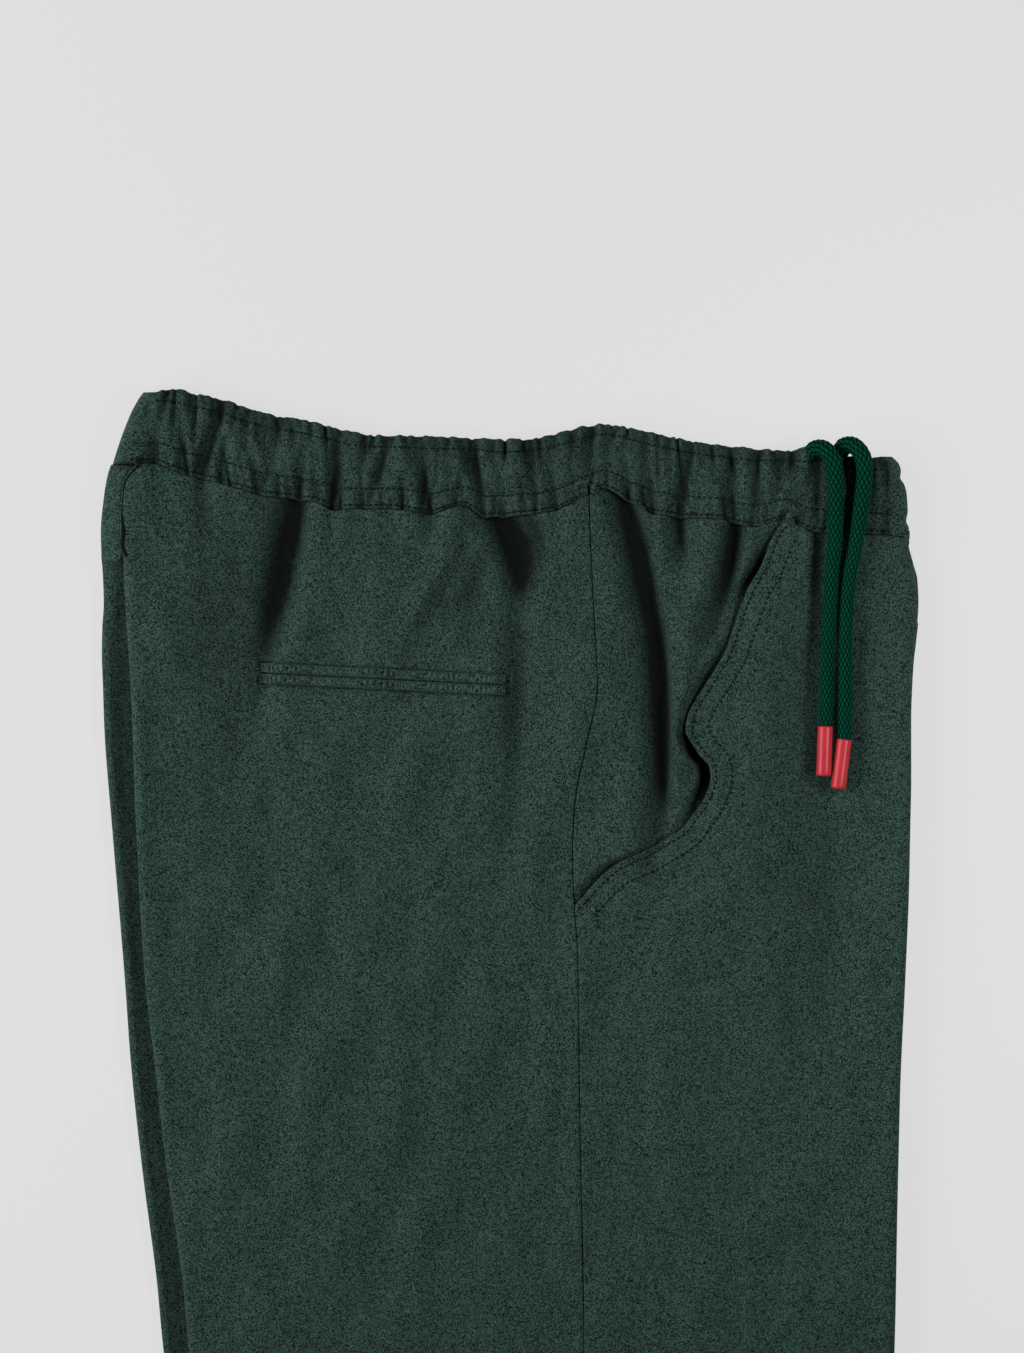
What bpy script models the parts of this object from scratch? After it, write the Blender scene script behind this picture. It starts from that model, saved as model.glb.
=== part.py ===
"""Linen drawstring trousers, folded in half lengthwise and laid flat on their left side.

Metres, +Z up.  +X points to the front of the garment, +Y to the waist and +Z off the
surface that it lies on.  The upper leg is the right one, the lower leg is the left one.
All tables are in millimetres.
"""
import math

import bmesh
import bpy
import numpy as np

MM = 0.001

# ---------------------------------------------------------------- driving sizes (mm)
CLOTH = 1.3              # wall of one cloth piece
SEAM_GAP = 0.3           # between two pieces that are sewn to each other
HEM_DEPTH = 28.0         # turned-up hem of each leg
HEM_CLOTH = 1.8          # doubled cloth of the hem
HEM_LEVEL = -528.4       # height of the hem line under the side seam
HEM_SLOPE = 0.04         # the hem is square to the leg, which leans forward
CORD_DIAMETER = 8.6
TIP_DIAMETER = 8.4
TIP_LENGTH = 28.0
WELT_CLOTH = 1.1
WELT_LIFT = 0.55         # the welts lie clear of the panel's facets
POCKET_UNDERLAP = 8.0    # the facing goes this far under the pocket mouth
MOUTH_STEP = 1.9         # the pocket mouth stands this far above the facing
MOUTH_GAPE = 1.6         # and its free edge lifts by this much where the pocket gapes
MOUTH_ROLL = 7.0         # width of that lifted edge
BAND_WALL = 3.2          # casing with its elastic where it lies flat

# ---------------------------------------------------------------- tables (mm)
# Left side of the folded garment.  level: height up the garment; lower/upper: edge of the
# lower and the upper leg; round_low/round_up: how far each edge rounds in; seam: height
# of the seam or groove between the legs; split: 0 one rounded fold, 1 two separate folds;
# tuck: how far the cloth runs in between the legs.
BACK_SIDE = [
    # level  lower   upper  round_low round_up seam  split tuck
    (495.0, -221.0, -221.0, 20.0, 20.0, 12.2, 0.0, 0.0),
    (482.0, -225.5, -225.5, 20.0, 20.0, 12.8, 0.0, 0.0),
    (470.0, -227.5, -227.5, 20.0, 20.0, 13.4, 0.0, 0.0),
    (446.0, -229.4, -229.4, 20.0, 20.0, 13.5, 0.0, 0.0),
    (434.0, -228.8, -225.6, 18.0, 18.0, 12.4, 0.2, 0.0),
    (423.0, -228.0, -220.5, 14.0, 14.0, 10.6, 0.5, 0.0),
    (411.0, -227.8, -216.5, 10.0, 9.0, 8.8, 0.85, 0.0),
    (398.0, -228.6, -214.5, 7.0, 6.0, 7.4, 1.0, 0.0),
    (384.0, -228.9, -213.4, 5.5, 5.0, 7.0, 1.0, 3.0),
    (366.0, -228.3, -212.4, 5.0, 4.5, 6.8, 1.0, 8.0),
    (340.0, -227.4, -211.3, 4.5, 4.5, 6.6, 1.0, 12.0),
    (288.0, -223.3, -209.4, 4.5, 4.5, 6.5, 1.0, 12.0),
    (201.0, -216.0, -204.3, 4.5, 4.5, 6.3, 1.0, 12.0),
    (155.0, -212.7, -199.2, 4.5, 4.5, 6.2, 1.0, 12.0),
    (91.0, -205.8, -191.9, 4.5, 4.5, 6.1, 1.0, 12.0),
    (33.0, -198.2, -183.5, 4.5, 4.5, 6.0, 1.0, 12.0),
    (-8.0, -194.2, -179.6, 4.5, 4.5, 6.0, 1.0, 12.0),
    (-202.0, -163.4, -151.1, 4.5, 4.5, 6.0, 1.0, 12.0),
    (-370.0, -128.7, -117.5, 4.5, 4.5, 6.0, 1.0, 12.0),
    (-560.0, -88.0, -77.5, 4.5, 4.5, 6.0, 1.0, 12.0),
]
# Right side, where the centre front seam lies at mid height.
FRONT_SIDE = [
    # level  lower   upper  round_low round_up seam  split tuck
    (480.0, 221.4, 222.4, 12.0, 12.0, 7.0, 0.0, 0.0),
    (448.0, 222.5, 223.4, 12.0, 12.0, 7.4, 0.0, 0.0),
    (435.0, 225.6, 226.4, 12.0, 12.0, 7.5, 0.0, 0.0),
    (426.0, 227.8, 228.6, 12.0, 12.0, 7.5, 0.0, 0.0),
    (414.0, 228.4, 229.2, 12.0, 12.0, 7.5, 0.0, 0.0),
    (391.0, 226.7, 227.5, 11.0, 11.0, 7.4, 0.1, 0.0),
    (376.0, 225.4, 226.2, 9.0, 9.0, 7.2, 0.5, 0.0),
    (362.0, 224.5, 225.4, 7.0, 7.0, 7.0, 0.85, 0.0),
    (349.0, 223.9, 225.0, 5.5, 5.5, 6.9, 1.0, 0.0),
    (334.0, 223.5, 225.0, 4.5, 4.5, 6.8, 1.0, 4.0),
    (312.0, 223.2, 225.0, 4.5, 4.5, 6.7, 1.0, 10.0),
    (290.0, 222.8, 224.6, 4.5, 4.5, 6.6, 1.0, 12.0),
    (246.0, 221.6, 223.6, 4.5, 4.5, 6.4, 1.0, 12.0),
    (201.0, 219.7, 221.7, 4.5, 4.5, 6.3, 1.0, 12.0),
    (145.0, 217.1, 219.1, 4.5, 4.5, 6.2, 1.0, 12.0),
    (76.0, 215.3, 217.4, 4.5, 4.5, 6.1, 1.0, 12.0),
    (-8.0, 213.4, 215.7, 4.5, 4.5, 6.0, 1.0, 12.0),
    (-202.0, 199.0, 201.7, 4.5, 4.5, 6.0, 1.0, 12.0),
    (-370.0, 180.6, 183.8, 4.5, 4.5, 6.0, 1.0, 12.0),
    (-560.0, 153.0, 157.0, 4.5, 4.5, 6.0, 1.0, 12.0),
]
# Height of the laid garment up its length.
THICKNESS = [
    # level  height
    (540.0, 12.4),
    (486.0, 13.0),
    (450.0, 15.0),
    (300.0, 14.4),
    (200.0, 12.8),
    (0.0, 12.0),
    (-560.0, 12.0),
]
# Side seam of the upper leg, which runs down the middle of the laid garment.
SIDE_SEAM = [
    # level  across
    (476.0, 44.4),
    (448.0, 45.2),
    (426.0, 46.1),
    (397.0, 47.7),
    (365.0, 49.2),
    (333.0, 42.8),
    (300.0, 36.6),
    (271.0, 35.2),
    (242.0, 36.2),
    (217.0, 38.0),
    (123.0, 39.3),
    (-8.0, 41.6),
    (-202.0, 41.0),
    (-560.0, 40.5),
]
# Slanted mouth of the side pocket, from the waistband down to the side seam.
POCKET_MOUTH = [
    # level  across
    (462.0, 156.0),
    (450.0, 147.4),
    (433.0, 140.7),
    (420.0, 133.2),
    (401.0, 126.1),
    (386.0, 121.0),
    (373.0, 113.6),
    (360.0, 105.4),
    (349.0, 99.9),
    (341.0, 98.9),
    (335.0, 101.0),
    (327.5, 105.6),
    (320.5, 111.6),
    (315.0, 112.3),
    (303.5, 108.8),
    (293.5, 102.2),
    (285.5, 95.9),
    (279.5, 86.4),
    (272.0, 73.5),
    (266.5, 60.6),
    (259.0, 51.1),
    (250.0, 42.7),
    (243.5, 36.9),
]
MOUTH_FOOT = 243.5       # level where the mouth meets the side seam
GAPE_FOOT = (268.0, 300.0)       # levels between which the mouth starts to gape
GAPE_HEAD = (440.0, 458.0)       # and between which it ends
FACING_RAMP = (-16.0, -1.0)      # the facing sinks over this stretch back of the mouth
# Lower edge of the gathered waistband on the upper side.
BAND_FOOT = [
    # across  level
    (-224.0, 490.0),
    (-201.0, 490.6),
    (-186.0, 485.5),
    (-170.0, 481.6),
    (-153.0, 476.6),
    (-135.0, 472.1),
    (-111.0, 469.3),
    (-97.0, 464.8),
    (-69.0, 465.0),
    (-45.0, 462.3),
    (-27.0, 466.6),
    (-13.0, 460.3),
    (14.0, 462.0),
    (32.0, 467.0),
    (44.4, 474.0),
    (52.0, 476.4),
    (66.0, 469.6),
    (83.0, 462.0),
    (103.0, 459.6),
    (120.0, 459.0),
    (136.0, 454.6),
    (155.0, 459.4),
    (170.0, 452.0),
    (200.0, 450.8),
    (226.0, 448.4),
]
# Upper edge of the waistband.
BAND_HEAD = [
    # across  level
    (-206.0, 525.0),
    (-197.0, 531.0),
    (-189.0, 532.6),
    (-175.0, 529.8),
    (-159.0, 526.6),
    (-141.0, 520.2),
    (-115.0, 515.2),
    (-91.0, 509.2),
    (-77.0, 507.0),
    (-37.0, 506.0),
    (-3.0, 504.4),
    (17.0, 505.7),
    (36.5, 510.7),
    (50.5, 513.0),
    (73.5, 509.4),
    (102.0, 503.6),
    (128.0, 500.1),
    (153.0, 497.8),
    (161.0, 496.4),
    (168.0, 492.2),
    (176.0, 490.6),
    (196.0, 489.8),
    (206.0, 490.6),
    (219.0, 486.5),
]
# Creases in the laid cloth.  Each runs from start to end; bow bends it sideways, depth is
# how far it sinks (negative: a raised ridge), soft and crisp are its widths to the back
# and to the front, and peak says where along it is deepest, 0 at the start.
CREASE_FADE = 1.2        # how quickly a crease fades to its ends
CREASES = [
    # start_x start_y  end_x   end_y   bow  depth soft  crisp peak
    (-118.0, 478.0, -139.0, 384.0, 4.0, 5.6, 9.0, 5.5, 0.30),
    (-13.0, 468.0, 6.0, 420.0, 5.0, 5.4, 9.0, 6.0, 0.40),
    (-27.0, 474.0, -70.0, 378.0, -3.0, -1.8, 11.0, 9.0, 0.30),
    (3.0, 440.0, 1.0, 280.0, 2.0, 2.2, 10.0, 8.0, 0.40),
    (60.0, 476.0, 84.5, 300.0, 8.0, 6.6, 10.5, 6.0, 0.50),
    (75.0, 470.0, 91.0, 330.0, 5.0, -1.6, 6.0, 7.0, 0.60),
    (104.0, 346.0, 106.0, 296.0, -3.0, 2.6, 6.0, 5.0, 0.50),
    (94.0, 464.0, 99.0, 430.0, 0.0, 2.4, 5.0, 5.0, 0.35),
    (127.0, 458.0, 108.0, 386.0, 4.0, 2.8, 7.0, 6.0, 0.40),
    (-172.0, 488.0, -168.0, 430.0, 0.0, 2.0, 7.0, 7.0, 0.25),
    (-162.0, 460.0, -158.0, 250.0, 0.0, 1.6, 24.0, 22.0, 0.40),
    (-48.0, 466.0, -34.0, 432.0, 0.0, 1.6, 7.0, 6.0, 0.25),
    (176.0, 300.0, 178.0, 180.0, 0.0, 1.0, 12.0, 12.0, 0.40),
    (-141.0, 362.0, -143.0, 330.0, 0.0, 1.4, 6.0, 5.0, 0.30),
]
# Gathers of the waistband: from its upper to its lower edge.
GATHERS = [
    # head_x  foot_x  depth width
    (-186.0, -181.0, 2.4, 5.0),
    (-175.5, -175.0, 2.0, 4.5),
    (-159.5, -172.0, 3.4, 4.5),
    (-146.0, -150.0, 1.6, 5.0),
    (-130.0, -134.0, 2.4, 4.5),
    (-113.0, -118.0, 2.8, 5.0),
    (-94.0, -99.0, 3.0, 4.5),
    (-80.0, -86.0, 1.6, 4.0),
    (-65.0, -80.0, 2.4, 4.5),
    (-51.0, -44.0, 2.8, 4.5),
    (-36.0, -31.0, 1.6, 4.0),
    (-21.0, -14.0, 3.4, 4.5),
    (-6.0, -3.0, 1.8, 4.0),
    (12.0, 13.5, 3.0, 4.5),
    (21.0, 26.0, 2.0, 4.0),
    (34.0, 36.0, 1.6, 4.0),
    (47.0, 43.5, 2.4, 4.5),
    (62.0, 67.0, 2.2, 4.5),
    (76.0, 80.0, 2.4, 4.5),
    (89.0, 92.0, 1.8, 4.0),
    (102.0, 96.0, 3.4, 4.5),
    (113.0, 114.0, 1.8, 4.0),
    (124.0, 125.0, 3.0, 4.5),
    (138.0, 140.0, 1.8, 4.0),
    (153.5, 147.0, 3.0, 4.5),
    (163.0, 162.0, 1.6, 4.0),
    (208.0, 210.0, 2.4, 4.5),
]
# Routes of the drawcord's two ends: out of the waist opening, over the band and down.
CORD_INNER = [
    (168.2, 474.0, 8.1), (167.6, 482.0, 8.1), (167.8, 490.0, 8.4), (169.0, 496.6, 10.6),
    (172.4, 500.8, 15.2), (177.2, 499.8, 19.6), (180.6, 493.6, 21.7), (182.0, 485.0, 21.9),
    (182.2, 472.0, 21.6), (182.2, 457.0, 21.4), (181.4, 443.0, 20.5), (180.0, 429.0, 19.9),
    (179.3, 414.0, 19.6), (178.6, 400.0, 19.5), (177.8, 386.0, 19.4), (177.5, 371.0, 19.3),
    (177.1, 357.0, 19.3), (176.6, 343.3, 19.2),
]
CORD_OUTER = [
    (184.6, 475.0, 8.1), (184.2, 483.0, 8.1), (184.6, 490.0, 8.4), (186.0, 497.4, 10.6),
    (189.4, 502.8, 15.2), (194.0, 502.0, 19.5), (196.8, 495.8, 21.6), (197.2, 486.0, 22.0),
    (195.8, 472.0, 21.6), (194.0, 457.5, 21.4), (192.4, 443.5, 20.5), (190.3, 429.0, 19.9),
    (188.8, 414.4, 19.6), (188.0, 400.0, 19.5), (187.6, 386.0, 19.4), (187.4, 371.0, 19.3),
    (187.3, 357.0, 19.3), (187.2, 336.0, 19.2),
]
TIP_INNER_LEAN = (-1.0, -28.0)      # direction that each tip points in, across and down
TIP_OUTER_LEAN = (-3.5, -28.0)

WELT_HEAD_LEFT = (-139.0, 379.2)    # corners of the back pocket
WELT_HEAD_RIGHT = (-2.0, 372.4)
WELT_DROP = 12.4                    # height of both welts together
WELT_SLIT = 0.5                     # gap between them

COLOURS = {
    # finish: (red, green, blue, roughness)
    "linen": (0.021, 0.045, 0.036, 0.85),
    "cord": (0.001, 0.030, 0.017, 0.60),
    "tip": (0.55, 0.045, 0.060, 0.35),
}


# ---------------------------------------------------------------- small tools
def column(table, index):
    """One column of a table as an array."""
    return np.array([row[index] for row in table], dtype=float)


def read(table, index, at):
    """Column `index` of a table at the levels `at`, straight between its rows."""
    keys = column(table, 0)
    values = column(table, index)
    order = np.argsort(keys)
    return np.interp(at, keys[order], values[order])


def smooth(edge_0, edge_1, value):
    """0 below edge_0, 1 above edge_1 and an S between them."""
    t = np.clip((value - edge_0) / (edge_1 - edge_0), 0.0, 1.0)
    return t * t * (3.0 - 2.0 * t)


def height(y):
    return read(THICKNESS, 1, y)


def side_seam(y):
    return read(SIDE_SEAM, 1, y)


def mouth(y):
    """The front panel's back border: the pocket mouth, and the side seam below it."""
    return np.where(y > MOUTH_FOOT, read(POCKET_MOUTH, 1, y), side_seam(y))


def band_foot(x):
    return read(BAND_FOOT, 1, x)


def band_head(x):
    return read(BAND_HEAD, 1, x)


def hem_top(x):
    """Level where the turned-up hem starts."""
    return HEM_LEVEL + HEM_DEPTH + HEM_SLOPE * x


def creases(x, y):
    """How far the creases sink the cloth at (x, y).

    A crease sinks by depth * sin(pi * along^power)^fade * exp(-(aside / width)^2), where
    along goes from 0 to 1 up its bowed line and aside is the distance from that line.
    """
    sink = np.zeros(np.broadcast(x, y).shape)
    for x0, y0, x1, y1, bow, depth, soft, crisp, peak in CREASES:
        run = math.hypot(x1 - x0, y1 - y0)
        ux = (x1 - x0) / run
        uy = (y1 - y0) / run
        along = np.clip(((x - x0) * ux + (y - y0) * uy) / run, 0.0, 1.0)
        aside = -(x - x0) * uy + (y - y0) * ux - 4.0 * bow * along * (1.0 - along)
        width = np.where(aside < 0.0, soft, crisp)
        power = math.log(0.5) / math.log(peak)
        fade = np.sin(math.pi * along ** power) ** CREASE_FADE
        sink = sink + depth * fade * np.exp(-(aside / width) ** 2)
    return sink


def top_of_cloth(x, y):
    """Outer height of the upper leg's cloth."""
    return height(y) - creases(x, y)


def mouth_lift(x, y):
    """The pocket's free edge stands up a little where the pocket gapes."""
    gape = MOUTH_GAPE * smooth(*GAPE_FOOT, y) * (1.0 - smooth(*GAPE_HEAD, y))
    return gape * np.exp(-((x - mouth(y)) / MOUTH_ROLL) ** 2) * (y > MOUTH_FOOT)


def facing_drop(x, y):
    """The facing sinks below the pocket mouth that covers its edge."""
    return MOUTH_STEP * smooth(*FACING_RAMP, x - mouth(y))


# ---------------------------------------------------------------- rounded side edges
EDGE_POINTS = 7          # points round each folded edge, two of them in the tuck
FULL_TUCK = 8.0          # from this tuck on, two of the points are in it
OPEN_TUCK = 0.5          # from this tuck on, the gap between the legs is in the tuck
ARC_STEPS = 90           # fine steps along the rounding and the tuck, to measure by
TUCK_STEPS = 20
SIDE_COLUMNS = ("lower", "upper", "round_low", "round_up", "seam", "split", "tuck")


def side_at(table, y):
    """The values of a side table at level y, by their names."""
    return {name: read(table, index + 1, y) for index, name in enumerate(SIDE_COLUMNS)}


def arc_of(top, side, upper):
    """Half height of the rounded edge, and the angle at which it reaches the seam.

    One rounded fold is an ellipse of the garment's full height; a leg's own fold is one
    of that leg's height.  The seam's angle counts from the edge's outermost point,
    negative towards the leg's flat face.
    """
    span = float(top - side["seam"] if upper else side["seam"])
    shared = top * (1.0 - side["split"]) + span * side["split"]
    half = max(float(shared) / 2.0, span / 2.0 + 1e-6)
    return half, math.asin(min(1.0, max(-1.0, span / half - 1.0)))


def groove_of(table, sign, y):
    """Where the two legs' cloth ends on this side, times sign."""
    side = side_at(table, y)
    start = arc_of(float(height(y)), side, True)[1]
    rounding = side["round_up"] * (1.0 - math.cos(start))
    return float(sign * side["upper"] + rounding + side["tuck"])


def edge_points(table, sign, y, upper, inset):
    """Rounded edge at level y, from its seam or groove to its flat face.

    The path runs outwards from the groove to the ellipse x = reach * (1 - cos(angle)),
    z = middle + half * sin(angle), and along it to the flat face.  It is read at even
    lengths where the legs share one fold, and at the ends of run and arc where they are
    parted.  All is moved inwards by `inset`.  sign is +1 on the back and -1 on the front.
    """
    top = float(height(y))
    side = side_at(table, y)
    edge = float(side["upper" if upper else "lower"])
    reach = float(side["round_up" if upper else "round_low"])
    half, start = arc_of(top, side, upper)
    run = max(groove_of(table, sign, y) - sign * edge - reach * (1.0 - math.cos(start)), 0.0)
    speed = math.hypot(reach * math.sin(start), half * math.cos(start))
    start = start - SEAM_GAP / 2.0 / speed * (1.0 - smooth(0.0, OPEN_TUCK, run))
    angle = np.linspace(-start, math.pi / 2.0, ARC_STEPS)
    x = reach * (1.0 - np.cos(angle))
    z = top - half * (1.0 - np.sin(angle))
    if run > 0.0:
        x = np.concatenate([x[0] + np.linspace(run, 0.0, TUCK_STEPS)[:-1], x])
        z = np.concatenate([np.full(TUCK_STEPS - 1, z[0]), z])
    length = np.concatenate([[0.0], np.cumsum(np.hypot(np.diff(x), np.diff(z)))])
    arc = length[-1] - run
    even = np.linspace(0.0, length[-1], EDGE_POINTS)
    on_arc = run + arc * np.linspace(0.0, 1.0, EDGE_POINTS - 2)
    parted = np.concatenate([[0.0, run / 2.0], on_arc])
    share = float(smooth(0.0, FULL_TUCK, run))
    at = even * (1.0 - share) + parted * share
    x = np.interp(at, length, x)
    z = np.interp(at, length, z)
    normal_x, normal_z = corner_normals(x, z)
    z = z + SEAM_GAP / 2.0 * np.clip(1.0 - at / max(run, 3.0), 0.0, 1.0)
    x = x - normal_x * inset
    z = z - normal_z * inset
    if not upper:
        z = top - z
    return edge + sign * x, z


def corner_normals(x, z):
    """Outward direction at each point of a path, long enough to keep a wall even.

    The last point's next side is taken as level, because the flat face starts there.
    """
    side_x = np.diff(x)
    side_z = np.diff(z)
    size = np.hypot(side_x, side_z)
    side_x = side_x / size
    side_z = side_z / size
    mean_x = np.concatenate([side_x[:1], side_x]) + np.concatenate([side_x, [1.0]])
    mean_z = np.concatenate([side_z[:1], side_z]) + np.concatenate([side_z, [0.0]])
    scale = 2.0 / (mean_x ** 2 + mean_z ** 2)
    return -mean_z * scale, mean_x * scale


# ---------------------------------------------------------------- objects
def finish(name):
    material = bpy.data.materials.get(name)
    if material is None:
        red, green, blue, roughness = COLOURS[name]
        material = bpy.data.materials.new(name)
        material.use_nodes = True
        shader = material.node_tree.nodes["Principled BSDF"]
        shader.inputs["Base Color"].default_value = (red, green, blue, 1.0)
        shader.inputs["Roughness"].default_value = roughness
        shader.inputs["Metallic"].default_value = 0.0
        material.diffuse_color = (red, green, blue, 1.0)
    return material


def add_mesh(name, points, faces, material):
    """A closed mesh from points in millimetres, its faces turned outwards."""
    mesh = bpy.data.meshes.new(name)
    mesh.from_pydata([tuple(p) for p in np.asarray(points) * MM], [], [tuple(f) for f in faces])
    work = bmesh.new()
    work.from_mesh(mesh)
    bmesh.ops.recalc_face_normals(work, faces=work.faces)
    if work.calc_volume(signed=True) < 0.0:
        bmesh.ops.reverse_faces(work, faces=work.faces)
    work.to_mesh(mesh)
    work.free()
    mesh.materials.append(finish(material))
    mesh.shade_smooth()
    mesh.set_sharp_from_angle(angle=math.radians(40.0))
    piece = bpy.data.objects.new(name, mesh)
    bpy.context.scene.collection.objects.link(piece)
    return piece


def cloth_wall(name, outer, inner, material="linen"):
    """A closed wall between two grids of points: both faces and the four rims."""
    rows, cols = outer.shape[:2]
    points = np.concatenate([outer.reshape(-1, 3), inner.reshape(-1, 3)])
    index = np.arange(rows * cols).reshape(rows, cols)
    under = index + rows * cols
    faces = []
    for r in range(rows - 1):
        for c in range(cols - 1):
            faces.append((index[r, c], index[r, c + 1], index[r + 1, c + 1], index[r + 1, c]))
            faces.append((under[r, c], under[r + 1, c], under[r + 1, c + 1], under[r, c + 1]))
    for r in range(rows - 1):
        faces.append((index[r, 0], index[r + 1, 0], under[r + 1, 0], under[r, 0]))
        faces.append((index[r, -1], under[r, -1], under[r + 1, -1], index[r + 1, -1]))
    for c in range(cols - 1):
        faces.append((index[0, c], under[0, c], under[0, c + 1], index[0, c + 1]))
        faces.append((index[-1, c], index[-1, c + 1], under[-1, c + 1], under[-1, c]))
    return add_mesh(name, points, faces, material)


def closed_loops(name, loops, material="linen"):
    """A ring-shaped piece: closed loops of points joined round, first to last as well."""
    stations, around = loops.shape[:2]
    points = loops.reshape(-1, 3)
    faces = []
    for s in range(stations):
        following = (s + 1) % stations
        for a in range(around):
            beside = (a + 1) % around
            faces.append((s * around + a, s * around + beside,
                          following * around + beside, following * around + a))
    return add_mesh(name, points, faces, material)


# ---------------------------------------------------------------- rows of the legs
FOLD_ROWS = 20           # rows from the waistband to the foot of the pocket
LEG_ROWS = 8             # rows from there to the hem
FOLDED_SHARE = 0.242     # of the leg's length, down to the foot of the pocket
ROWS = np.concatenate([np.linspace(0.0, FOLDED_SHARE, FOLD_ROWS),
                       np.linspace(FOLDED_SHARE, 1.0, LEG_ROWS)[1:]])
OFF_SHOULDER = 0.02      # share of the width between an edge's rounding and the next column
NEAR_KNOT = 0.01         # no column stands nearer than this to another
SPACING_LEVEL = 460.0    # the columns' widths are counted at this level
SETTLE_STEPS = 12        # rounds in which a point's place and level settle
STEEPEST = 0.72          # a wall's slope counts up to this upright part of its normal


def level(x, share, foot):
    """Level of a row: `share` of the way from the waistband's lower edge to the hem.

    The first and the last row keep half a seam gap to the waistband and to the hem.
    """
    trim = SEAM_GAP / 2.0 * (float(share == 1.0) - float(share == 0.0))
    return foot(x) + (hem_top(x) - foot(x)) * share + trim


def lean_foot(x):
    """The waistband's lower edge on the underside, a straight line."""
    first, last = BAND_FOOT[0], BAND_FOOT[-1]
    return first[1] + (last[1] - first[1]) * (x - first[0]) / (last[0] - first[0])


def back_shoulder(y):
    """Where the upper leg's rounded back edge meets its flat face."""
    side = side_at(BACK_SIDE, y)
    return side["upper"] + side["round_up"]


def front_shoulder(y):
    side = side_at(FRONT_SIDE, y)
    return side["upper"] - side["round_up"]


def low_back_shoulder(y):
    side = side_at(BACK_SIDE, y)
    return side["lower"] + side["round_low"]


def low_front_shoulder(y):
    side = side_at(FRONT_SIDE, y)
    return side["lower"] - side["round_low"]


def side_seam_back(y):
    return side_seam(y) - SEAM_GAP / 2.0


def side_seam_front(y):
    return side_seam(y) + SEAM_GAP / 2.0


def mouth_edge(y):
    return mouth(y) + SEAM_GAP / 2.0


def facing_edge(y):
    return mouth(y) + POCKET_UNDERLAP


def knot_shares(left, right, widest, first, last):
    """Columns through the corners of the waistband's lower edge, none wider than `widest`.

    A column at share s stands s of the way from left(y) to right(y) in every row.
    """
    stops = [first]
    for x, y in BAND_FOOT:
        share = (x - float(left(y))) / (float(right(y)) - float(left(y)))
        if first + NEAR_KNOT < share < last - NEAR_KNOT:
            stops.append(share)
    stops.append(last)
    width = float(right(SPACING_LEVEL)) - float(left(SPACING_LEVEL))
    shares = []
    for a, b in zip(stops[:-1], stops[1:]):
        pieces = max(1, math.ceil((b - a) * width / widest))
        shares.extend(np.linspace(a, b, pieces, endpoint=False))
    return np.array(shares + [last])


def row_grid(rows, left, right, shares, surface, foot):
    """Outer points of a flat face: rows of points from left(y) to right(y).

    Columns keep their share of the width all the way down; a row's level follows the
    waistband's lower edge at the top and eases to the straight hem.
    """
    grid = np.zeros((len(rows), len(shares), 3))
    for r, share in enumerate(rows):
        y = level(np.zeros(len(shares)), share, foot)
        for _ in range(SETTLE_STEPS):
            x = left(y) + (right(y) - left(y)) * shares
            y = level(x, share, foot)
        grid[r, :, 0] = x
        grid[r, :, 1] = y
        grid[r, :, 2] = surface(x, y)
    return grid


def sink_by(grid, distance):
    """The grid moved straight down, more where it slopes, to keep the wall's thickness."""
    across = np.gradient(grid, axis=1)
    down = np.gradient(grid, axis=0)
    normal = np.cross(across, down)
    upright = np.abs(normal[:, :, 2]) / np.linalg.norm(normal, axis=2)
    moved = grid.copy()
    moved[:, :, 2] -= distance / np.clip(upright, STEEPEST, 1.0)
    return moved


def edge_columns(grid, table, sign, upper, rows, foot, inset):
    """The rounded edge beside a flat face, one set of points for each of its rows."""
    columns = []
    for r, share in enumerate(rows):
        shoulder_level = grid[r, 0 if sign > 0 else -1, 1]
        x, z = edge_points(table, sign, shoulder_level, upper, inset)
        columns.append(np.stack([x, level(x, share, foot), z], axis=1))
    return np.array(columns)


def edged_wall(name, grid, inner, table, sign, upper, rows, foot):
    """A panel's wall: its flat face and its rounded edge on the back or front side."""
    outer_edge = edge_columns(grid, table, sign, upper, rows, foot, 0.0)
    inner_edge = edge_columns(grid, table, sign, upper, rows, foot, CLOTH)
    if sign > 0:
        outer = np.concatenate([outer_edge, grid], axis=1)
        inner = np.concatenate([inner_edge, inner], axis=1)
    else:
        outer = np.concatenate([grid, outer_edge[:, ::-1]], axis=1)
        inner = np.concatenate([inner, inner_edge[:, ::-1]], axis=1)
    cloth_wall(name, outer, inner)


# ---------------------------------------------------------------- upper leg
def right_back_panel():
    """From the centre back seam round the folded edge and across to the side seam."""
    shares = knot_shares(back_shoulder, side_seam_back, 9.6, OFF_SHOULDER, 1.0)
    grid = row_grid(ROWS, back_shoulder, side_seam_back, shares, top_of_cloth, band_foot)
    edged_wall("right_back_panel", grid, sink_by(grid, CLOTH), BACK_SIDE, 1.0, True, ROWS,
               band_foot)


def front_surface(x, y):
    return top_of_cloth(x, y) + mouth_lift(x, y)


def right_front_panel():
    """From the pocket mouth, and the side seam below it, round the front folded edge."""
    shares = knot_shares(mouth_edge, front_shoulder, 6.4, 0.0, 1.0 - OFF_SHOULDER)
    grid = row_grid(ROWS, mouth_edge, front_shoulder, shares, front_surface, band_foot)
    edged_wall("right_front_panel", grid, sink_by(grid, CLOTH), FRONT_SIDE, -1.0, True, ROWS,
               band_foot)


def facing_surface(x, y):
    return top_of_cloth(x, y) - facing_drop(x, y)


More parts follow.
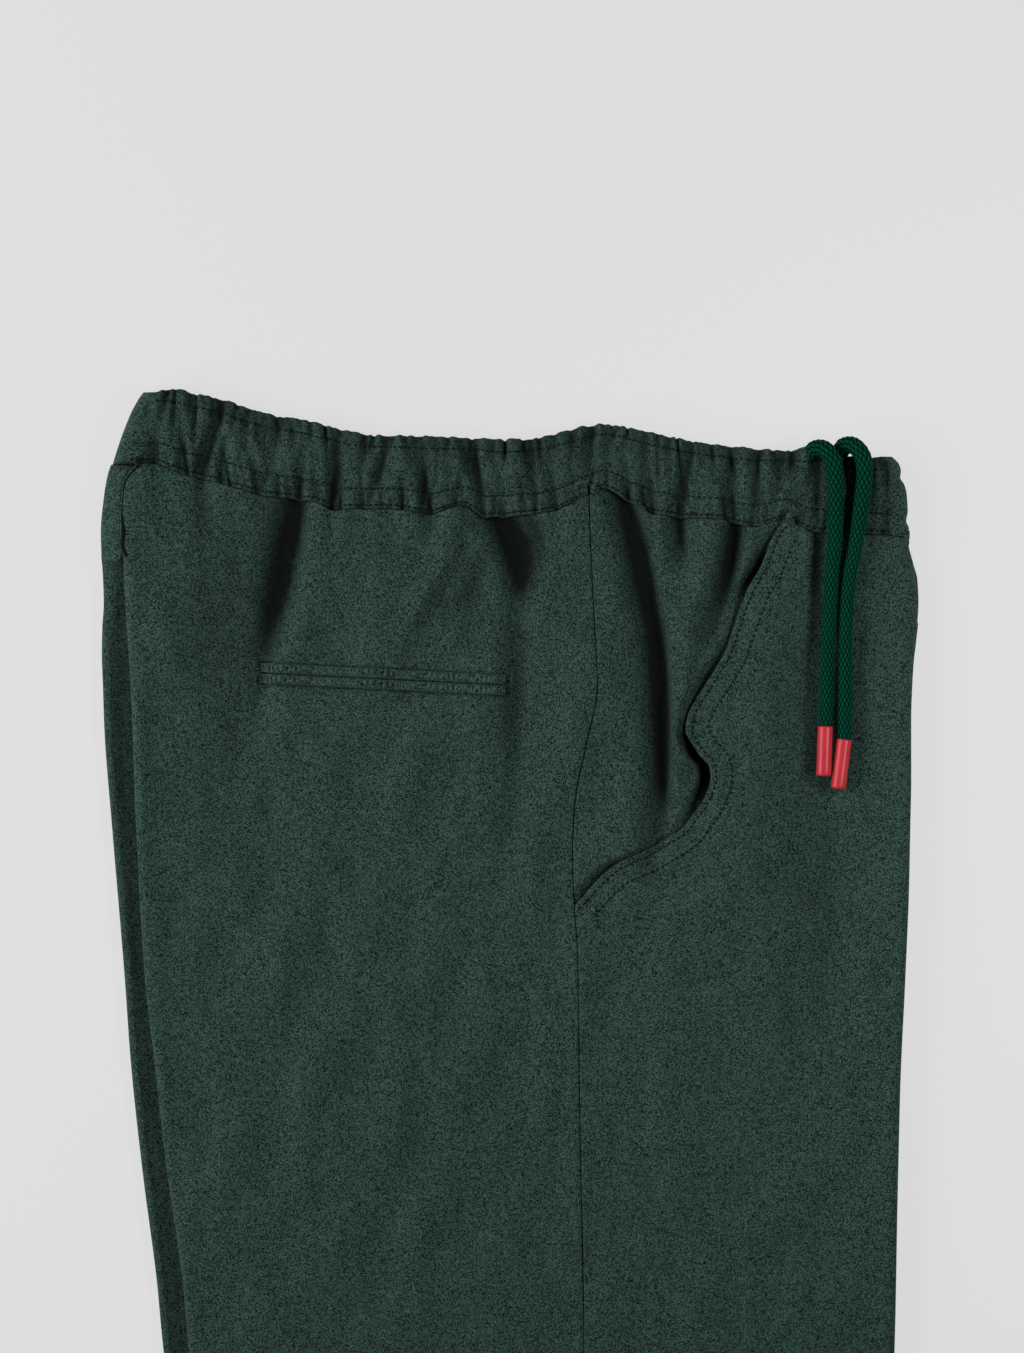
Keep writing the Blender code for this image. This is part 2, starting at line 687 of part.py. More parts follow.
def right_pocket_facing():
    """The cloth seen in the pocket's opening, from the side seam to under the mouth."""
    shares = knot_shares(side_seam_front, facing_edge, 9.6, 0.0, 1.0)
    grid = row_grid(ROWS[:FOLD_ROWS - 1], side_seam_front, facing_edge, shares,
                    facing_surface, band_foot)
    cloth_wall("right_pocket_facing", grid, sink_by(grid, CLOTH))


# ---------------------------------------------------------------- lower leg
UNDER_SEAM = 0.62        # share of the underside's width at the lower leg's side seam
UNDER_SEAM_HALF = 0.0004


def flat_underside(x, y):
    return np.zeros(np.broadcast(x, y).shape)


def under_panel(name, first, last, side, sign):
    """One panel of the lower leg, flat underneath, with its rounded side edge."""
    shares = np.linspace(first, last, 4)
    grid = row_grid(ROWS, low_back_shoulder, low_front_shoulder, shares,
                    flat_underside, lean_foot)
    inner = grid.copy()
    inner[:, :, 2] = CLOTH
    edged_wall(name, grid, inner, side, sign, False, ROWS, lean_foot)


def lower_leg():
    under_panel("left_back_panel", OFF_SHOULDER, UNDER_SEAM - UNDER_SEAM_HALF, BACK_SIDE, 1.0)
    under_panel("left_front_panel", UNDER_SEAM + UNDER_SEAM_HALF, 1.0 - OFF_SHOULDER,
                FRONT_SIDE, -1.0)


# ---------------------------------------------------------------- hidden layers
CORE_CLEAR = 0.6         # between the hidden layers and the cloth round them
CORE_FOOT = (475.0, 434.0)   # levels of their straight upper end at the back and the front
CORE_COLUMNS = 20
CORE_FLOOR = 3.4         # the hidden layers are never thinner than this under a crease
CORE_SKIP = 3            # the panels' first rows, which reach up round the waistband's edge
NOTCH = 1.0              # they stay this far off the cloth's ends between the legs
NOTCH_HALF = 0.3         # and this far off each leg's own cloth there
LOOK_ACROSS = np.linspace(-15.0, 15.0, 7)    # stretch in which the lowest cloth is looked for
LOOK_DOWN = np.linspace(-12.0, 12.0, 5)


def core_foot(x):
    """The straight upper end of the hidden layers, just under the waistband."""
    first, last = BAND_FOOT[0][0], BAND_FOOT[-1][0]
    return CORE_FOOT[0] + (CORE_FOOT[1] - CORE_FOOT[0]) * (x - first) / (last - first)


def lowest_cloth(x, y):
    """Outer height of the lowest cloth that shows: the facing where it reaches."""
    off = x - mouth(y)
    facing = (off < POCKET_UNDERLAP + 1.0) * (y > MOUTH_FOOT - 6.0)
    return top_of_cloth(x, y) - facing_drop(x, y) * facing


def core_top(x, y):
    """Under the lowest cloth within a column and a row of each point."""
    low = lowest_cloth(x, y)
    for dx in LOOK_ACROSS:
        for dy in LOOK_DOWN:
            low = np.minimum(low, lowest_cloth(x + dx, y + dy))
    return np.maximum(low - CLOTH * 1.25 - CORE_CLEAR, CORE_FLOOR)


def core_loop(share, foot):
    """One section of the hidden layers, all round, with a notch between the legs."""
    inset = CLOTH + CORE_CLEAR
    row = np.array([share])
    upper_shares = np.linspace(OFF_SHOULDER, 1.0 - OFF_SHOULDER, CORE_COLUMNS)
    lower_shares = np.linspace(OFF_SHOULDER, 1.0 - OFF_SHOULDER, 3)
    upper = row_grid(row, back_shoulder, front_shoulder, upper_shares, core_top, foot)
    lower = row_grid(row, low_back_shoulder, low_front_shoulder, lower_shares,
                     flat_underside, foot)
    lower[:, :, 2] = inset
    edges = []
    for face, table, sign, is_upper in ((upper, BACK_SIDE, 1.0, True),
                                        (upper, FRONT_SIDE, -1.0, True),
                                        (lower, FRONT_SIDE, -1.0, False),
                                        (lower, BACK_SIDE, 1.0, False)):
        edge = edge_columns(face, table, sign, is_upper, row, foot, inset)[0]
        shoulder_level = face[0, 0 if sign > 0 else -1, 1]
        parted = side_at(table, shoulder_level)["tuck"] > OPEN_TUCK
        edge[0, 0] += sign * (NOTCH if parted or not is_upper else NOTCH / 2.0)
        edge[0, 2] += NOTCH_HALF if is_upper else -NOTCH_HALF
        edges.append(edge)
    back_up, front_up, front_low, back_low = edges
    return np.concatenate([back_up, upper[0], front_up[::-1], front_low, lower[0][::-1],
                           back_low[::-1]])


def hidden_layers():
    """Inner layers of both legs as one rounded solid, parted at both side edges."""
    loops = [core_loop(0.0, core_foot)]
    for share in ROWS[CORE_SKIP:]:
        loops.append(core_loop(share, band_foot))
    count = len(loops[0])
    points = np.concatenate(loops)
    faces = []
    for r in range(len(loops) - 1):
        for a in range(count):
            beside = (a + 1) % count
            faces.append((r * count + a, r * count + beside,
                          (r + 1) * count + beside, (r + 1) * count + a))
    faces.append(tuple(range(count)))
    faces.append(tuple(range((len(loops) - 1) * count, len(loops) * count)))
    add_mesh("hidden_layers", points, faces, "linen")


# ---------------------------------------------------------------- waistband
BAND_STEP = 4.3          # spacing of the waistband's columns
UNDER_STEP = 4           # one column in so many on its underside
BAND_TURN = 5            # columns round each folded end
BAND_ROUND = 7.0         # how far the folded ends of the band round in
BAND_CREST = 14.2        # height of the casing's outer face between two gathers
BAND_INSIDE = 7.1        # height of its inner face
GATHER_INSIDE = 0.15     # share of a gather's depth that shows on the inner face
CORD_ROOM = (150.0, 164.0, 194.0, 206.0)     # stretch lifted by the drawcord inside
ROOM_CREST = 1.6         # lift of the outer and of the inner face there
ROOM_INSIDE = 5.7
ROOM_GATHERS = 0.1       # share of the gathers left there
# Profile of the casing: share of its height, bulge from the wall's face, and depth in the
# wall as a share of the wall.
CASING = [
    # share bulge depth
    (0.0, 0.3, 0.0),
    (0.10, 0.9, 0.0),
    (0.27, 0.1, 0.0),
    (0.50, 0.9, 0.0),
    (0.80, 0.0, 0.0),
    (0.93, 0.2, 0.0),
    (1.0, 0.0, 0.5),
    (0.96, 0.6, 1.0),
    (0.60, 0.0, 1.0),
    (0.0, 0.0, 1.0),
]
# Ends of the band where it folds at the centre back and at the centre front.
BAND_LEFT = [
    # share edge
    (0.0, -222.6),
    (0.27, -219.2),
    (0.55, -215.0),
    (0.83, -210.0),
    (1.0, -205.4),
]
BAND_RIGHT = [
    # share edge
    (0.0, 223.4),
    (0.27, 222.6),
    (0.55, 222.2),
    (0.83, 220.8),
    (1.0, 218.0),
]


def gathers(across, share):
    """How far the gathers sink the casing, 0 on its crests."""
    sink = np.zeros(np.broadcast(across, share).shape)
    for head_x, foot_x, depth, width in GATHERS:
        centre = foot_x + (head_x - foot_x) * share
        sink = np.maximum(sink, depth * np.exp(-((across - centre) / width) ** 2))
    return sink


def cord_room(across):
    """The drawcord inside the opening lifts the upper half of the band."""
    start, full, fall, end = CORD_ROOM
    return smooth(start, full, across) * (1.0 - smooth(fall, end, across))


def band_outer(across, share):
    room = cord_room(across)
    left_over = 1.0 - (1.0 - ROOM_GATHERS) * room
    return BAND_CREST + ROOM_CREST * room - gathers(across, share) * left_over


def band_inner(across, share):
    room = cord_room(across)
    return BAND_INSIDE + ROOM_INSIDE * room - GATHER_INSIDE * gathers(across, share) * (1.0 - room)


def band_across(along, share):
    """Place across the band at `along`, 0 to 1 between the roundings of its two ends."""
    left = read(BAND_LEFT, 1, share) + BAND_ROUND
    right = read(BAND_RIGHT, 1, share) - BAND_ROUND
    return float(left + (right - left) * along)


def band_columns():
    """Columns of the band, 0 to 1, through the corners of its lower edge."""
    left = band_across(0.0, 0.0)
    right = band_across(1.0, 0.0)
    knots = column(BAND_FOOT, 0)
    knots = knots[(knots > left) & (knots < right)]
    stops = np.concatenate([[left], knots, [right]])
    places = []
    for a, b in zip(stops[:-1], stops[1:]):
        pieces = max(1, int(round((b - a) / BAND_STEP)))
        places.extend(np.linspace(a, b, pieces, endpoint=False))
    return (np.array(places + [right]) - left) / (right - left)


def band_section(along, upper):
    """Section of the casing on the upper or the lower side of the garment."""
    foot_x = band_across(along, 0.0)
    foot = float(band_foot(foot_x) if upper else lean_foot(foot_x)) + SEAM_GAP / 2.0
    head = float(band_head(band_across(along, 1.0)))
    points = []
    for share, bulge, depth in CASING:
        x = band_across(along, share)
        outer = float(band_outer(x, share)) if upper else 0.0
        inner = float(band_inner(x, share)) if upper else BAND_WALL
        swell = bulge if upper else 0.0
        points.append((x, foot + (head - foot) * share, outer + (inner - outer) * depth + swell))
    return points


def band_turns(along, sign, angles):
    """A folded end: each point of the upper section swings round to the lower one."""
    sections = []
    for angle in angles:
        lean = (1.0 + math.sin(angle)) / 2.0
        points = []
        for row, high, low in zip(CASING, band_section(along, True), band_section(along, False)):
            reach = BAND_ROUND - BAND_WALL * row[2]
            points.append((high[0] + sign * reach * math.cos(angle),
                           high[1] * lean + low[1] * (1.0 - lean),
                           high[2] * lean + low[2] * (1.0 - lean)))
        sections.append(points)
    return sections


def waistband():
    """One casing all round, folded at centre front and centre back."""
    columns = band_columns()
    turn = np.linspace(math.pi / 2.0, -math.pi / 2.0, BAND_TURN + 2)[1:-1]
    under = columns[::UNDER_STEP][::-1]
    if under[0] < 1.0:
        under = np.concatenate([[1.0], under])
    sections = [band_section(along, True) for along in columns]
    sections += band_turns(1.0, 1.0, turn)
    sections += [band_section(along, False) for along in under]
    sections += band_turns(0.0, -1.0, -turn)
    closed_loops("waistband", np.array(sections))


# ---------------------------------------------------------------- hems
HEM_FLAT = 12            # sections along each face of a hem
HEM_TURN = 5             # and round each of its folded sides
# Profile of the hem: share of its depth, and depth in its wall.
HEM_PROFILE = [
    # share depth
    (1.0, 0.0),
    (0.0, 0.0),
    (0.0, HEM_CLOTH),
    (1.0, HEM_CLOTH),
]


def hem_ring(name, upper):
    """A turned-up hem: a flattened ring of doubled cloth, open at the leg's end."""
    top = float(height(HEM_LEVEL))
    low = (top + SEAM_GAP) / 2.0 if upper else 0.0
    high = top if upper else (top - SEAM_GAP) / 2.0
    radius = (high - low) / 2.0
    centre = (high + low) / 2.0
    edge = "upper" if upper else "lower"
    flat = np.linspace(0.0, 1.0, HEM_FLAT)
    turn = np.linspace(math.pi / 2.0, -math.pi / 2.0, HEM_TURN + 2)[1:-1]
    # along the ring: share across, way outwards, way upwards
    path = [(share, 0.0, 1.0) for share in flat]
    path += [(1.0, math.cos(angle), math.sin(angle)) for angle in turn]
    path += [(share, 0.0, -1.0) for share in flat[::-1]]
    path += [(0.0, -math.cos(angle), -math.sin(angle)) for angle in turn]
    sections = []
    for across, out, up in path:
        points = []
        for share, depth in HEM_PROFILE:
            y = HEM_LEVEL + HEM_DEPTH * share - SEAM_GAP / 2.0
            left = float(side_at(BACK_SIDE, y)[edge]) + radius
            right = float(side_at(FRONT_SIDE, y)[edge]) - radius
            x = left + (right - left) * across + out * (radius - depth)
            points.append((x, y + HEM_SLOPE * x, centre + up * (radius - depth)))
        sections.append(points)
    closed_loops(name, np.array(sections))


# ---------------------------------------------------------------- back pocket
WELT_COLUMNS = 16
WELT_ROWS = 3
WELT_SWELL = 0.25        # the middle of a welt stands up by this much
WELT_SLANT = (-2.0, -0.4)    # how far the pocket's two ends lean back over its height


def welt(name, upper):
    """One welt of the back pocket, lifted off the back panel's cloth."""
    x0, y0 = WELT_HEAD_LEFT
    x1, y1 = WELT_HEAD_RIGHT
    half = WELT_DROP / 2.0
    start = 0.0 if upper else half + WELT_SLIT / 2.0
    outer = np.zeros((WELT_ROWS, WELT_COLUMNS, 3))
    for r in range(WELT_ROWS):
        share = r / (WELT_ROWS - 1)
        down = start + share * (half - WELT_SLIT / 2.0)
        left = x0 + WELT_SLANT[0] * down / WELT_DROP
        right = x1 + WELT_SLANT[1] * down / WELT_DROP
        x = np.linspace(left, right, WELT_COLUMNS)
        y = y0 + (y1 - y0) * (x - x0) / (x1 - x0) - down
        swell = WELT_SWELL * math.sin(math.pi * share)
        outer[r, :, 0] = x
        outer[r, :, 1] = y
        outer[r, :, 2] = top_of_cloth(x, y) + WELT_LIFT + WELT_CLOTH + swell
    inner = outer.copy()
    inner[:, :, 2] -= WELT_CLOTH
    cloth_wall(name, outer, inner)


# ---------------------------------------------------------------- drawcord
CORD_STEP = 7.0          # spacing of the sections along a cord
TIP_SIDES = 16
TIP_JOINT = 0.6          # between the cord's end and its tip
# Profile of a tip: share of its length, and how far it stays inside its full radius.
TIP_PROFILE = [
    # share inside
    (0.0, 0.9),
    (0.018, 0.15),
    (0.043, 0.0),
    (0.943, 0.0),
    (0.982, 0.5),
    (1.0, 1.5),
]


def smooth_route(points, spacing):
    """A smooth curve through the route's points, read at an even spacing."""
    route = np.array(points)
    step = np.linalg.norm(np.diff(route, axis=0), axis=1)
    knot = np.concatenate([[0.0], np.cumsum(step)])
    slope = np.gradient(route, knot, axis=0)
    count = int(round(knot[-1] / spacing)) + 1
    at = np.linspace(0.0, knot[-1], count)
    cell = np.clip(np.searchsorted(knot, at, side="right") - 1, 0, len(knot) - 2)
    width = (knot[cell + 1] - knot[cell])[:, None]
    t = ((at - knot[cell])[:, None]) / width
    return ((2.0 * t ** 3 - 3.0 * t ** 2 + 1.0) * route[cell]
            + (t ** 3 - 2.0 * t ** 2 + t) * width * slope[cell]
            + (-2.0 * t ** 3 + 3.0 * t ** 2) * route[cell + 1]
            + (t ** 3 - t ** 2) * width * slope[cell + 1])


def cord(name, points):
    """A round cord along its route, as a curve with a bevel and closed ends."""
    route = smooth_route(points, CORD_STEP)
    curve = bpy.data.curves.new(name, "CURVE")
    curve.dimensions = "3D"
    spline = curve.splines.new("POLY")
    spline.points.add(len(route) - 1)
    for point, place in zip(spline.points, route):
        point.co = (*(place * MM), 1.0)
    curve.bevel_depth = CORD_DIAMETER / 2.0 * MM
    curve.bevel_resolution = 2
    curve.use_fill_caps = True
    curve.materials.append(finish("cord"))
    piece = bpy.data.objects.new(name, curve)
    bpy.context.scene.collection.objects.link(piece)


def cord_tip(name, points, lean):
    """A barrel tip with rounded rims, face to face with the cord's end."""
    end = np.array(points[-1])
    way = np.array([lean[0], lean[1], 0.0])
    way = way / np.linalg.norm(way)
    side = np.array([-way[1], way[0], 0.0])
    up = np.array([0.0, 0.0, 1.0])
    points_out = []
    for share, inside in TIP_PROFILE:
        centre = end + way * (TIP_JOINT + TIP_LENGTH * share)
        radius = TIP_DIAMETER / 2.0 - inside
        for k in range(TIP_SIDES):
            angle = 2.0 * math.pi * k / TIP_SIDES
            points_out.append(centre + side * (radius * math.cos(angle))
                              + up * (radius * math.sin(angle)))
    faces = []
    last = len(TIP_PROFILE) - 1
    for ring in range(last):
        for k in range(TIP_SIDES):
            beside = (k + 1) % TIP_SIDES
            faces.append((ring * TIP_SIDES + k, ring * TIP_SIDES + beside,
                          (ring + 1) * TIP_SIDES + beside, (ring + 1) * TIP_SIDES + k))
    faces.append(tuple(range(TIP_SIDES)))
    faces.append(tuple(range(last * TIP_SIDES, (last + 1) * TIP_SIDES)))
    add_mesh(name, points_out, faces, "tip")


def main():
    for old in list(bpy.data.objects):
        bpy.data.objects.remove(old, do_unlink=True)
    right_back_panel()
    right_front_panel()
    right_pocket_facing()
    lower_leg()
    hidden_layers()
    waistband()
    hem_ring("right_hem", True)
    hem_ring("left_hem", False)
    welt("back_pocket_upper_welt", True)
    welt("back_pocket_lower_welt", False)
    cord("cord_inner", CORD_INNER)
    cord("cord_outer", CORD_OUTER)
    cord_tip("tip_inner", CORD_INNER, TIP_INNER_LEAN)
    cord_tip("tip_outer", CORD_OUTER, TIP_OUTER_LEAN)


main()
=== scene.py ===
"""Linen drawstring trousers, folded in half lengthwise and laid flat on a pale table.

+X points to the garment's front, +Y to its waist and +Z off the table.  The upper leg is
the right one.  Tables and formulas are in millimetres, and piece_of() turns them into metres.
"""
import math

import bpy
import numpy as np
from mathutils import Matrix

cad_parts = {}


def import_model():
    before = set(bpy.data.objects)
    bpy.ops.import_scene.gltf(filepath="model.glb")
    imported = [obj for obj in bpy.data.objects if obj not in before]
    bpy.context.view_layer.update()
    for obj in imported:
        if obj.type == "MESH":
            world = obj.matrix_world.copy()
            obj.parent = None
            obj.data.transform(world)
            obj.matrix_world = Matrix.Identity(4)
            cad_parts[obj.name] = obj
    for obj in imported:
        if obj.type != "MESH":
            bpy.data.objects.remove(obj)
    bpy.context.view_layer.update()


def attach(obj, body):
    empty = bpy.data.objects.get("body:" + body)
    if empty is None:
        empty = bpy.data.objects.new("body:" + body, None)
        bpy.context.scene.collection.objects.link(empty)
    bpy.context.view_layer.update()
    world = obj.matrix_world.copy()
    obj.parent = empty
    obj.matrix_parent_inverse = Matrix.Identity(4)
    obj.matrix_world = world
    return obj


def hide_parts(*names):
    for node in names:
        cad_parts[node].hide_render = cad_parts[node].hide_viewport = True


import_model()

MM = 0.001
TINY = 1e-6

# ---- cloth and seams (mm)
CLOTH = 0.8              # linen, one layer
SEAM_GAP = 0.3
SEAM_ROLL = 0.8          # radius of a seam's turned edge
SEAM_MARGIN = SEAM_GAP / 2.0 + SEAM_ROLL
SEAM_ALLOWANCE = 3.0     # cloth turned in behind a seam
SEAM_RIDGE = (0.35, 2.6, 1.8)    # of the cloth beside a seam: height, distance off it, width
STITCH_GROOVE = (0.28, 1.1)      # of a row of stitches: depth, width

# ---- legs (mm)
# The folded edge of the legs at the centre back: where the lower and the upper leg end,
# how wide their roundings are, the height of the line between the two legs, how far they
# are two folds instead of one (0 to 1), and how deep the tuck between them is.
BACK_SIDE = [
    # level lower upper round_lower round_upper seam split tuck
    (498, -219, -219, 20, 20, 12.7, 0, 0),
    (490, -222.8, -222.8, 20, 20, 12.6, 0, 0),
    (482, -225.5, -225.5, 20, 20, 12.1, 0, 0),
    (470, -227.5, -227.5, 20, 20, 12.9, 0, 0),
    (450, -229.3, -229.3, 20, 20, 14.2, 0, 0),
    (445, -229.2, -229.2, 20, 20, 14.08, 0, 0),
    (441, -229.1, -229.1, 20, 20, 14.28, 0, 0),
    (438, -229, -229, 20, 20, 14.5, 0, 0),
    (437, -229, -217.2, 20, 1.6, 14.5, 0, 0),
    (434, -228.8, -216.4, 15, 5, 11, 0.8, 0),
    (431, -228.6, -216.3, 13, 6.5, 9.3, 1, 0),
    (427, -228.3, -216.2, 12, 6, 8.8, 1, 0.5),
    (411, -227.8, -215.3, 8, 5.5, 7.6, 1, 2),
    (398, -228.6, -214.6, 6.5, 5.2, 7.3, 1, 3),
    (384, -228.9, -213.6, 5.5, 5, 7, 1, 5),
    (366, -228.3, -212.4, 5, 4.5, 6.8, 1, 8),
    (340, -227.4, -211.3, 4.5, 4.5, 6.6, 1, 12),
    (288, -223.3, -209.4, 4.5, 4.5, 6.5, 1, 12),
    (201, -216, -204.3, 4.5, 4.5, 6.3, 1, 12),
    (155, -212.7, -199.2, 4.5, 4.5, 6.2, 1, 12),
    (91, -205.8, -191.9, 4.5, 4.5, 6.1, 1, 12),
    (33, -198.2, -183.5, 4.5, 4.5, 6, 1, 12),
    (-8, -194.2, -179.6, 4.5, 4.5, 6, 1, 12),
    (-202, -163.4, -151.1, 4.5, 4.5, 6, 1, 12),
    (-370, -128.7, -117.5, 4.5, 4.5, 6, 1, 12),
    (-560, -88, -77.5, 4.5, 4.5, 6, 1, 12),
]
# The same at the centre front.
FRONT_SIDE = [
    # level lower upper round_lower round_upper seam split tuck
    (480, 221.4, 222.4, 12, 12, 7, 0, 0),
    (448, 222.5, 223.4, 12, 12, 7.4, 0, 0),
    (435, 225.6, 226.4, 12, 12, 7.5, 0, 0),
    (426, 227.8, 228.6, 12, 12, 7.5, 0, 0),
    (414, 228.4, 229.2, 12, 12, 7.5, 0, 0),
    (391, 226.7, 227.5, 11, 11, 7.4, 0.1, 0),
    (376, 225.4, 226.2, 9, 9, 7.2, 0.5, 0),
    (362, 224.5, 225.4, 7, 7, 7, 0.85, 0),
    (349, 223.9, 225, 5.5, 5.5, 6.9, 1, 0),
    (334, 223.5, 225, 4.5, 4.5, 6.8, 1, 4),
    (312, 223.2, 225, 4.5, 4.5, 6.7, 1, 10),
    (290, 222.8, 224.6, 4.5, 4.5, 6.6, 1, 12),
    (246, 221.6, 223.6, 4.5, 4.5, 6.4, 1, 12),
    (201, 219.7, 221.7, 4.5, 4.5, 6.3, 1, 12),
    (145, 217.1, 219.1, 4.5, 4.5, 6.2, 1, 12),
    (76, 215.3, 217.4, 4.5, 4.5, 6.1, 1, 12),
    (-8, 213.4, 215.7, 4.5, 4.5, 6, 1, 12),
    (-202, 199, 201.7, 4.5, 4.5, 6, 1, 12),
    (-370, 180.6, 183.8, 4.5, 4.5, 6, 1, 12),
    (-560, 153, 157, 4.5, 4.5, 6, 1, 12),
]
SIDE_COLUMNS = ("level", "lower", "upper", "round_lower", "round_upper", "seam", "split", "tuck")
THICKNESS = [
    # level height
    (540, 12.4), (486, 13), (450, 15), (300, 14.4), (200, 12.8), (0, 12), (-560, 12),
]
SIDE_SEAM = [
    # level across
    (476, 44.4), (448, 45.2), (426, 46.1), (397, 47.7), (365, 49.2), (333, 42.8),
    (300, 36.6), (271, 35.2), (242, 36.2), (217, 38), (123, 39.3), (-8, 41.6),
    (-202, 41), (-560, 40.5),
]
LEG_ROWS = np.concatenate([         # shares of the leg's length, closest at the back pocket
    np.linspace(0.0, 0.084, 46), np.linspace(0.084, 0.120, 42)[1:],
    np.linspace(0.120, 0.235, 98)[1:], np.linspace(0.235, 0.52, 90)[1:],
    np.linspace(0.52, 1.0, 56)[1:]])
SETTLE_STEPS = 30
ARC = np.concatenate([[0.0, 0.012], np.linspace(0.0, 1.0, 14)[1:-1]])     # round a folded edge
TUCK = np.linspace(0.0, 1.0, 4)[:-1]     # in between the legs
PAINTED_TUCK_SHADE = 0.95         # painted shade there, and on the line between the two legs' panels
PAINTED_LINE_SHADE = 0.7
UNDER_SEAM = 0.62        # share of the lower leg's width that is its back panel
UNDER_GAP = 0.0022       # half the gap between its panels, as such a share
UNDER_TUCK = 3.8         # how far its panels go up into the waistband
UNDER_LIT = 0.62         # share of the tuck's painted shade that its folded edge loses below the crotch
INNER_INSET = 5.0        # from the legs' folded edges to the layers inside
INNER_CLEARANCE = 3.2    # from the upper leg's cloth down to the layers inside
INNER_LEAST = 2.6        # their least height
INNER_EDGE = 2.2         # their height at their ends
INNER_FLOOR = 1.4
INNER_NEAR = [(dx, dy) for dx in (-8.0, -4.0, 0.0, 4.0, 8.0) for dy in (-6.0, 0.0, 6.0)]
HEM_DEPTH = 28.0
HEM_LEVEL = -528.4
HEM_SLOPE = 0.04
HEM_HEIGHT = 12.0        # the whole garment's height at its hems
HEM_ROW = 0.9            # share of the hem's depth where it is stitched
HEM_EDGE = 0.8           # reach of the rounding at its edges
HEM_INSIDE = 1.7         # thickness of its doubled cloth
HEM_LIP = [
    # share depth
    (1.02, 2.4), (1.36, 2.4), (1.38, 2.0), (1.36, 1.6), (1.04, 1.6), (1.0, 1.0),
]
HEM_UV_STEP = 2.6        # length of weave from one section to the next
HEM_STITCH_SPAN = (-84.0, 156.0)

# ---- pockets (mm)
POCKET_MOUTH = [
    # level across
    (470, 161), (462, 156), (450, 147.4), (433, 140.7), (420, 133.2), (401, 126.1),
    (386, 121), (373, 113.6), (360, 105.4), (349, 99.9), (341, 98.9), (335, 101),
    (327.5, 105.6), (320.5, 111.6), (315, 112.3), (303.5, 108.8), (293.5, 102.2),
    (285.5, 95.9), (279.5, 86.4), (272, 73.5), (266.5, 60.6), (259, 51.1), (250, 42.7),
    (243.5, 36.9),
]
MOUTH_FOOT = POCKET_MOUTH[-1][0]    # where it ends in the side seam
MOUTH_STEP = 1.7         # from the facing up to the turned edge of the pocket's mouth
MOUTH_ROLL = 0.95        # radius of that edge
ROLL_LEVELS = (MOUTH_FOOT - 6.0, MOUTH_FOOT + 16.0)      # over which that radius sets in
LIP_LEVELS = (MOUTH_FOOT - 4.0, MOUTH_FOOT + 30.0)       # and the lip along the mouth does
LIP = (0.7, 7.0)         # its height and width
STEP_STARTS = (-4.5, -0.3)       # distances from the mouth between which the facing sinks
GAPE_STARTS = (-9.0, -3.0)       # and between which a gape of the mouth sets in
MOUTH_EDGE_ROW = 3.4     # the two rows of stitches beside it
MOUTH_INNER_ROW = 12.3
MOUTH_EDGE_SPAN = (458.0, MOUTH_FOOT)            # levels where those rows start and end
MOUTH_INNER_SPAN = (455.0, MOUTH_FOOT - 14.0)
POCKET_UNDERLAP = 7.0    # of the facing, beyond the mouth
FACING_FLOOR = 2.4       # the facing sinks no lower
FACING_LENGTH = 0.234    # as a share of the leg's
# Gaping stretches of the mouth, where the facing lies deeper and gets painted shade.
GAPES = [
    # level  reach depth
    (429, 17, 5),
    (374, 20, 2.6),
    (320, 22, 8),
    (262, 12, 2.6),
]
GAPE_DARKEST = 5.0       # a gape this deep gets the darkest painted shade
WELT_LEFT = (-139.0, 379.2)      # upper corners of the two welts: across, level
WELT_RIGHT = (-2.0, 372.4)
WELT_DROP = 12.4         # depth of both welts of the back pocket
WELT_SLANT = (-2.0, -0.4)        # how far their ends slant from top to foot
WELT_GAP = 0.45          # left free above and below each welt
WELT_HALF = 0.75         # half a welt's thickness
WELT_CROWN = 0.2         # how far its middle stands up
WELT_UV_LENGTH = 140.0   # length of weave along it
BED_DEPTH = 2.0          # how far the welts lie in the cloth
BED_HEAD = (-1.1, 0.5)   # rims of that bed, as distances down from the welts' upper edge
BED_FOOT = (WELT_DROP - 0.4, WELT_DROP + 2.2)
BED_START = (-0.016, 0.002)      # and as shares of the welts' length
BED_END = (0.998, 1.016)
BED_SHADE = 0.27         # its painted shade for each mm of depth

# ---- waistband (mm)
BAND_FOOT = [
    # across level
    (-224, 490), (-201, 490.6), (-186, 485.5), (-170, 481.6), (-153, 476.6),
    (-135, 472.1), (-111, 469.3), (-97, 464.8), (-69, 465), (-45, 462.3), (-27, 466.6),
    (-13, 460.3), (14, 462), (32, 467), (44.4, 474), (52, 476.4), (66, 469.6),
    (83, 462), (103, 459.6), (120, 459), (136, 454.6), (155, 459.4), (170, 452),
    (200, 450.8), (226, 448.4),
]
BAND_HEAD = [
    # across level
    (-206, 525), (-197, 531), (-189, 532.6), (-175, 529.8), (-159, 526.6),
    (-141, 520.2), (-115, 515.2), (-91, 509.2), (-77, 507), (-37, 506), (-3, 504.4),
    (17, 505.7), (36.5, 510.7), (50.5, 513), (73.5, 509.4), (102, 503.6), (128, 500.1),
    (153, 498.6), (163, 499.4), (172, 500.4), (180, 499.4), (187, 495.6), (193, 495),
    (203, 494.6), (210, 495.4), (216, 493), (219, 489),
]
BAND_LEFT = [
    # share edge
    (0, -222.6), (0.27, -219.2), (0.55, -215), (0.83, -210), (1, -205.4),
]
BAND_RIGHT = [
    # share edge
    (0, 223.4), (0.1, 223.9), (0.19, 222.3), (0.3, 223.2), (0.52, 222.6), (0.64, 221.2),
    (0.72, 219), (0.8, 219.4), (0.92, 218), (1, 214.5),
]
BAND_DEPTH = 45.0        # from its lower to its upper edge
BAND_ROUND = 7.0         # reach of its folded ends
BAND_CREST = 14.3        # height of its upper face at its stitches
BAND_INSIDE = 7.1        # height of the wall behind that face
BAND_UNDER = 3.2         # thickness of its underside
BAND_DARKEST = 6.0       # a gather this deep gets the darkest painted shade
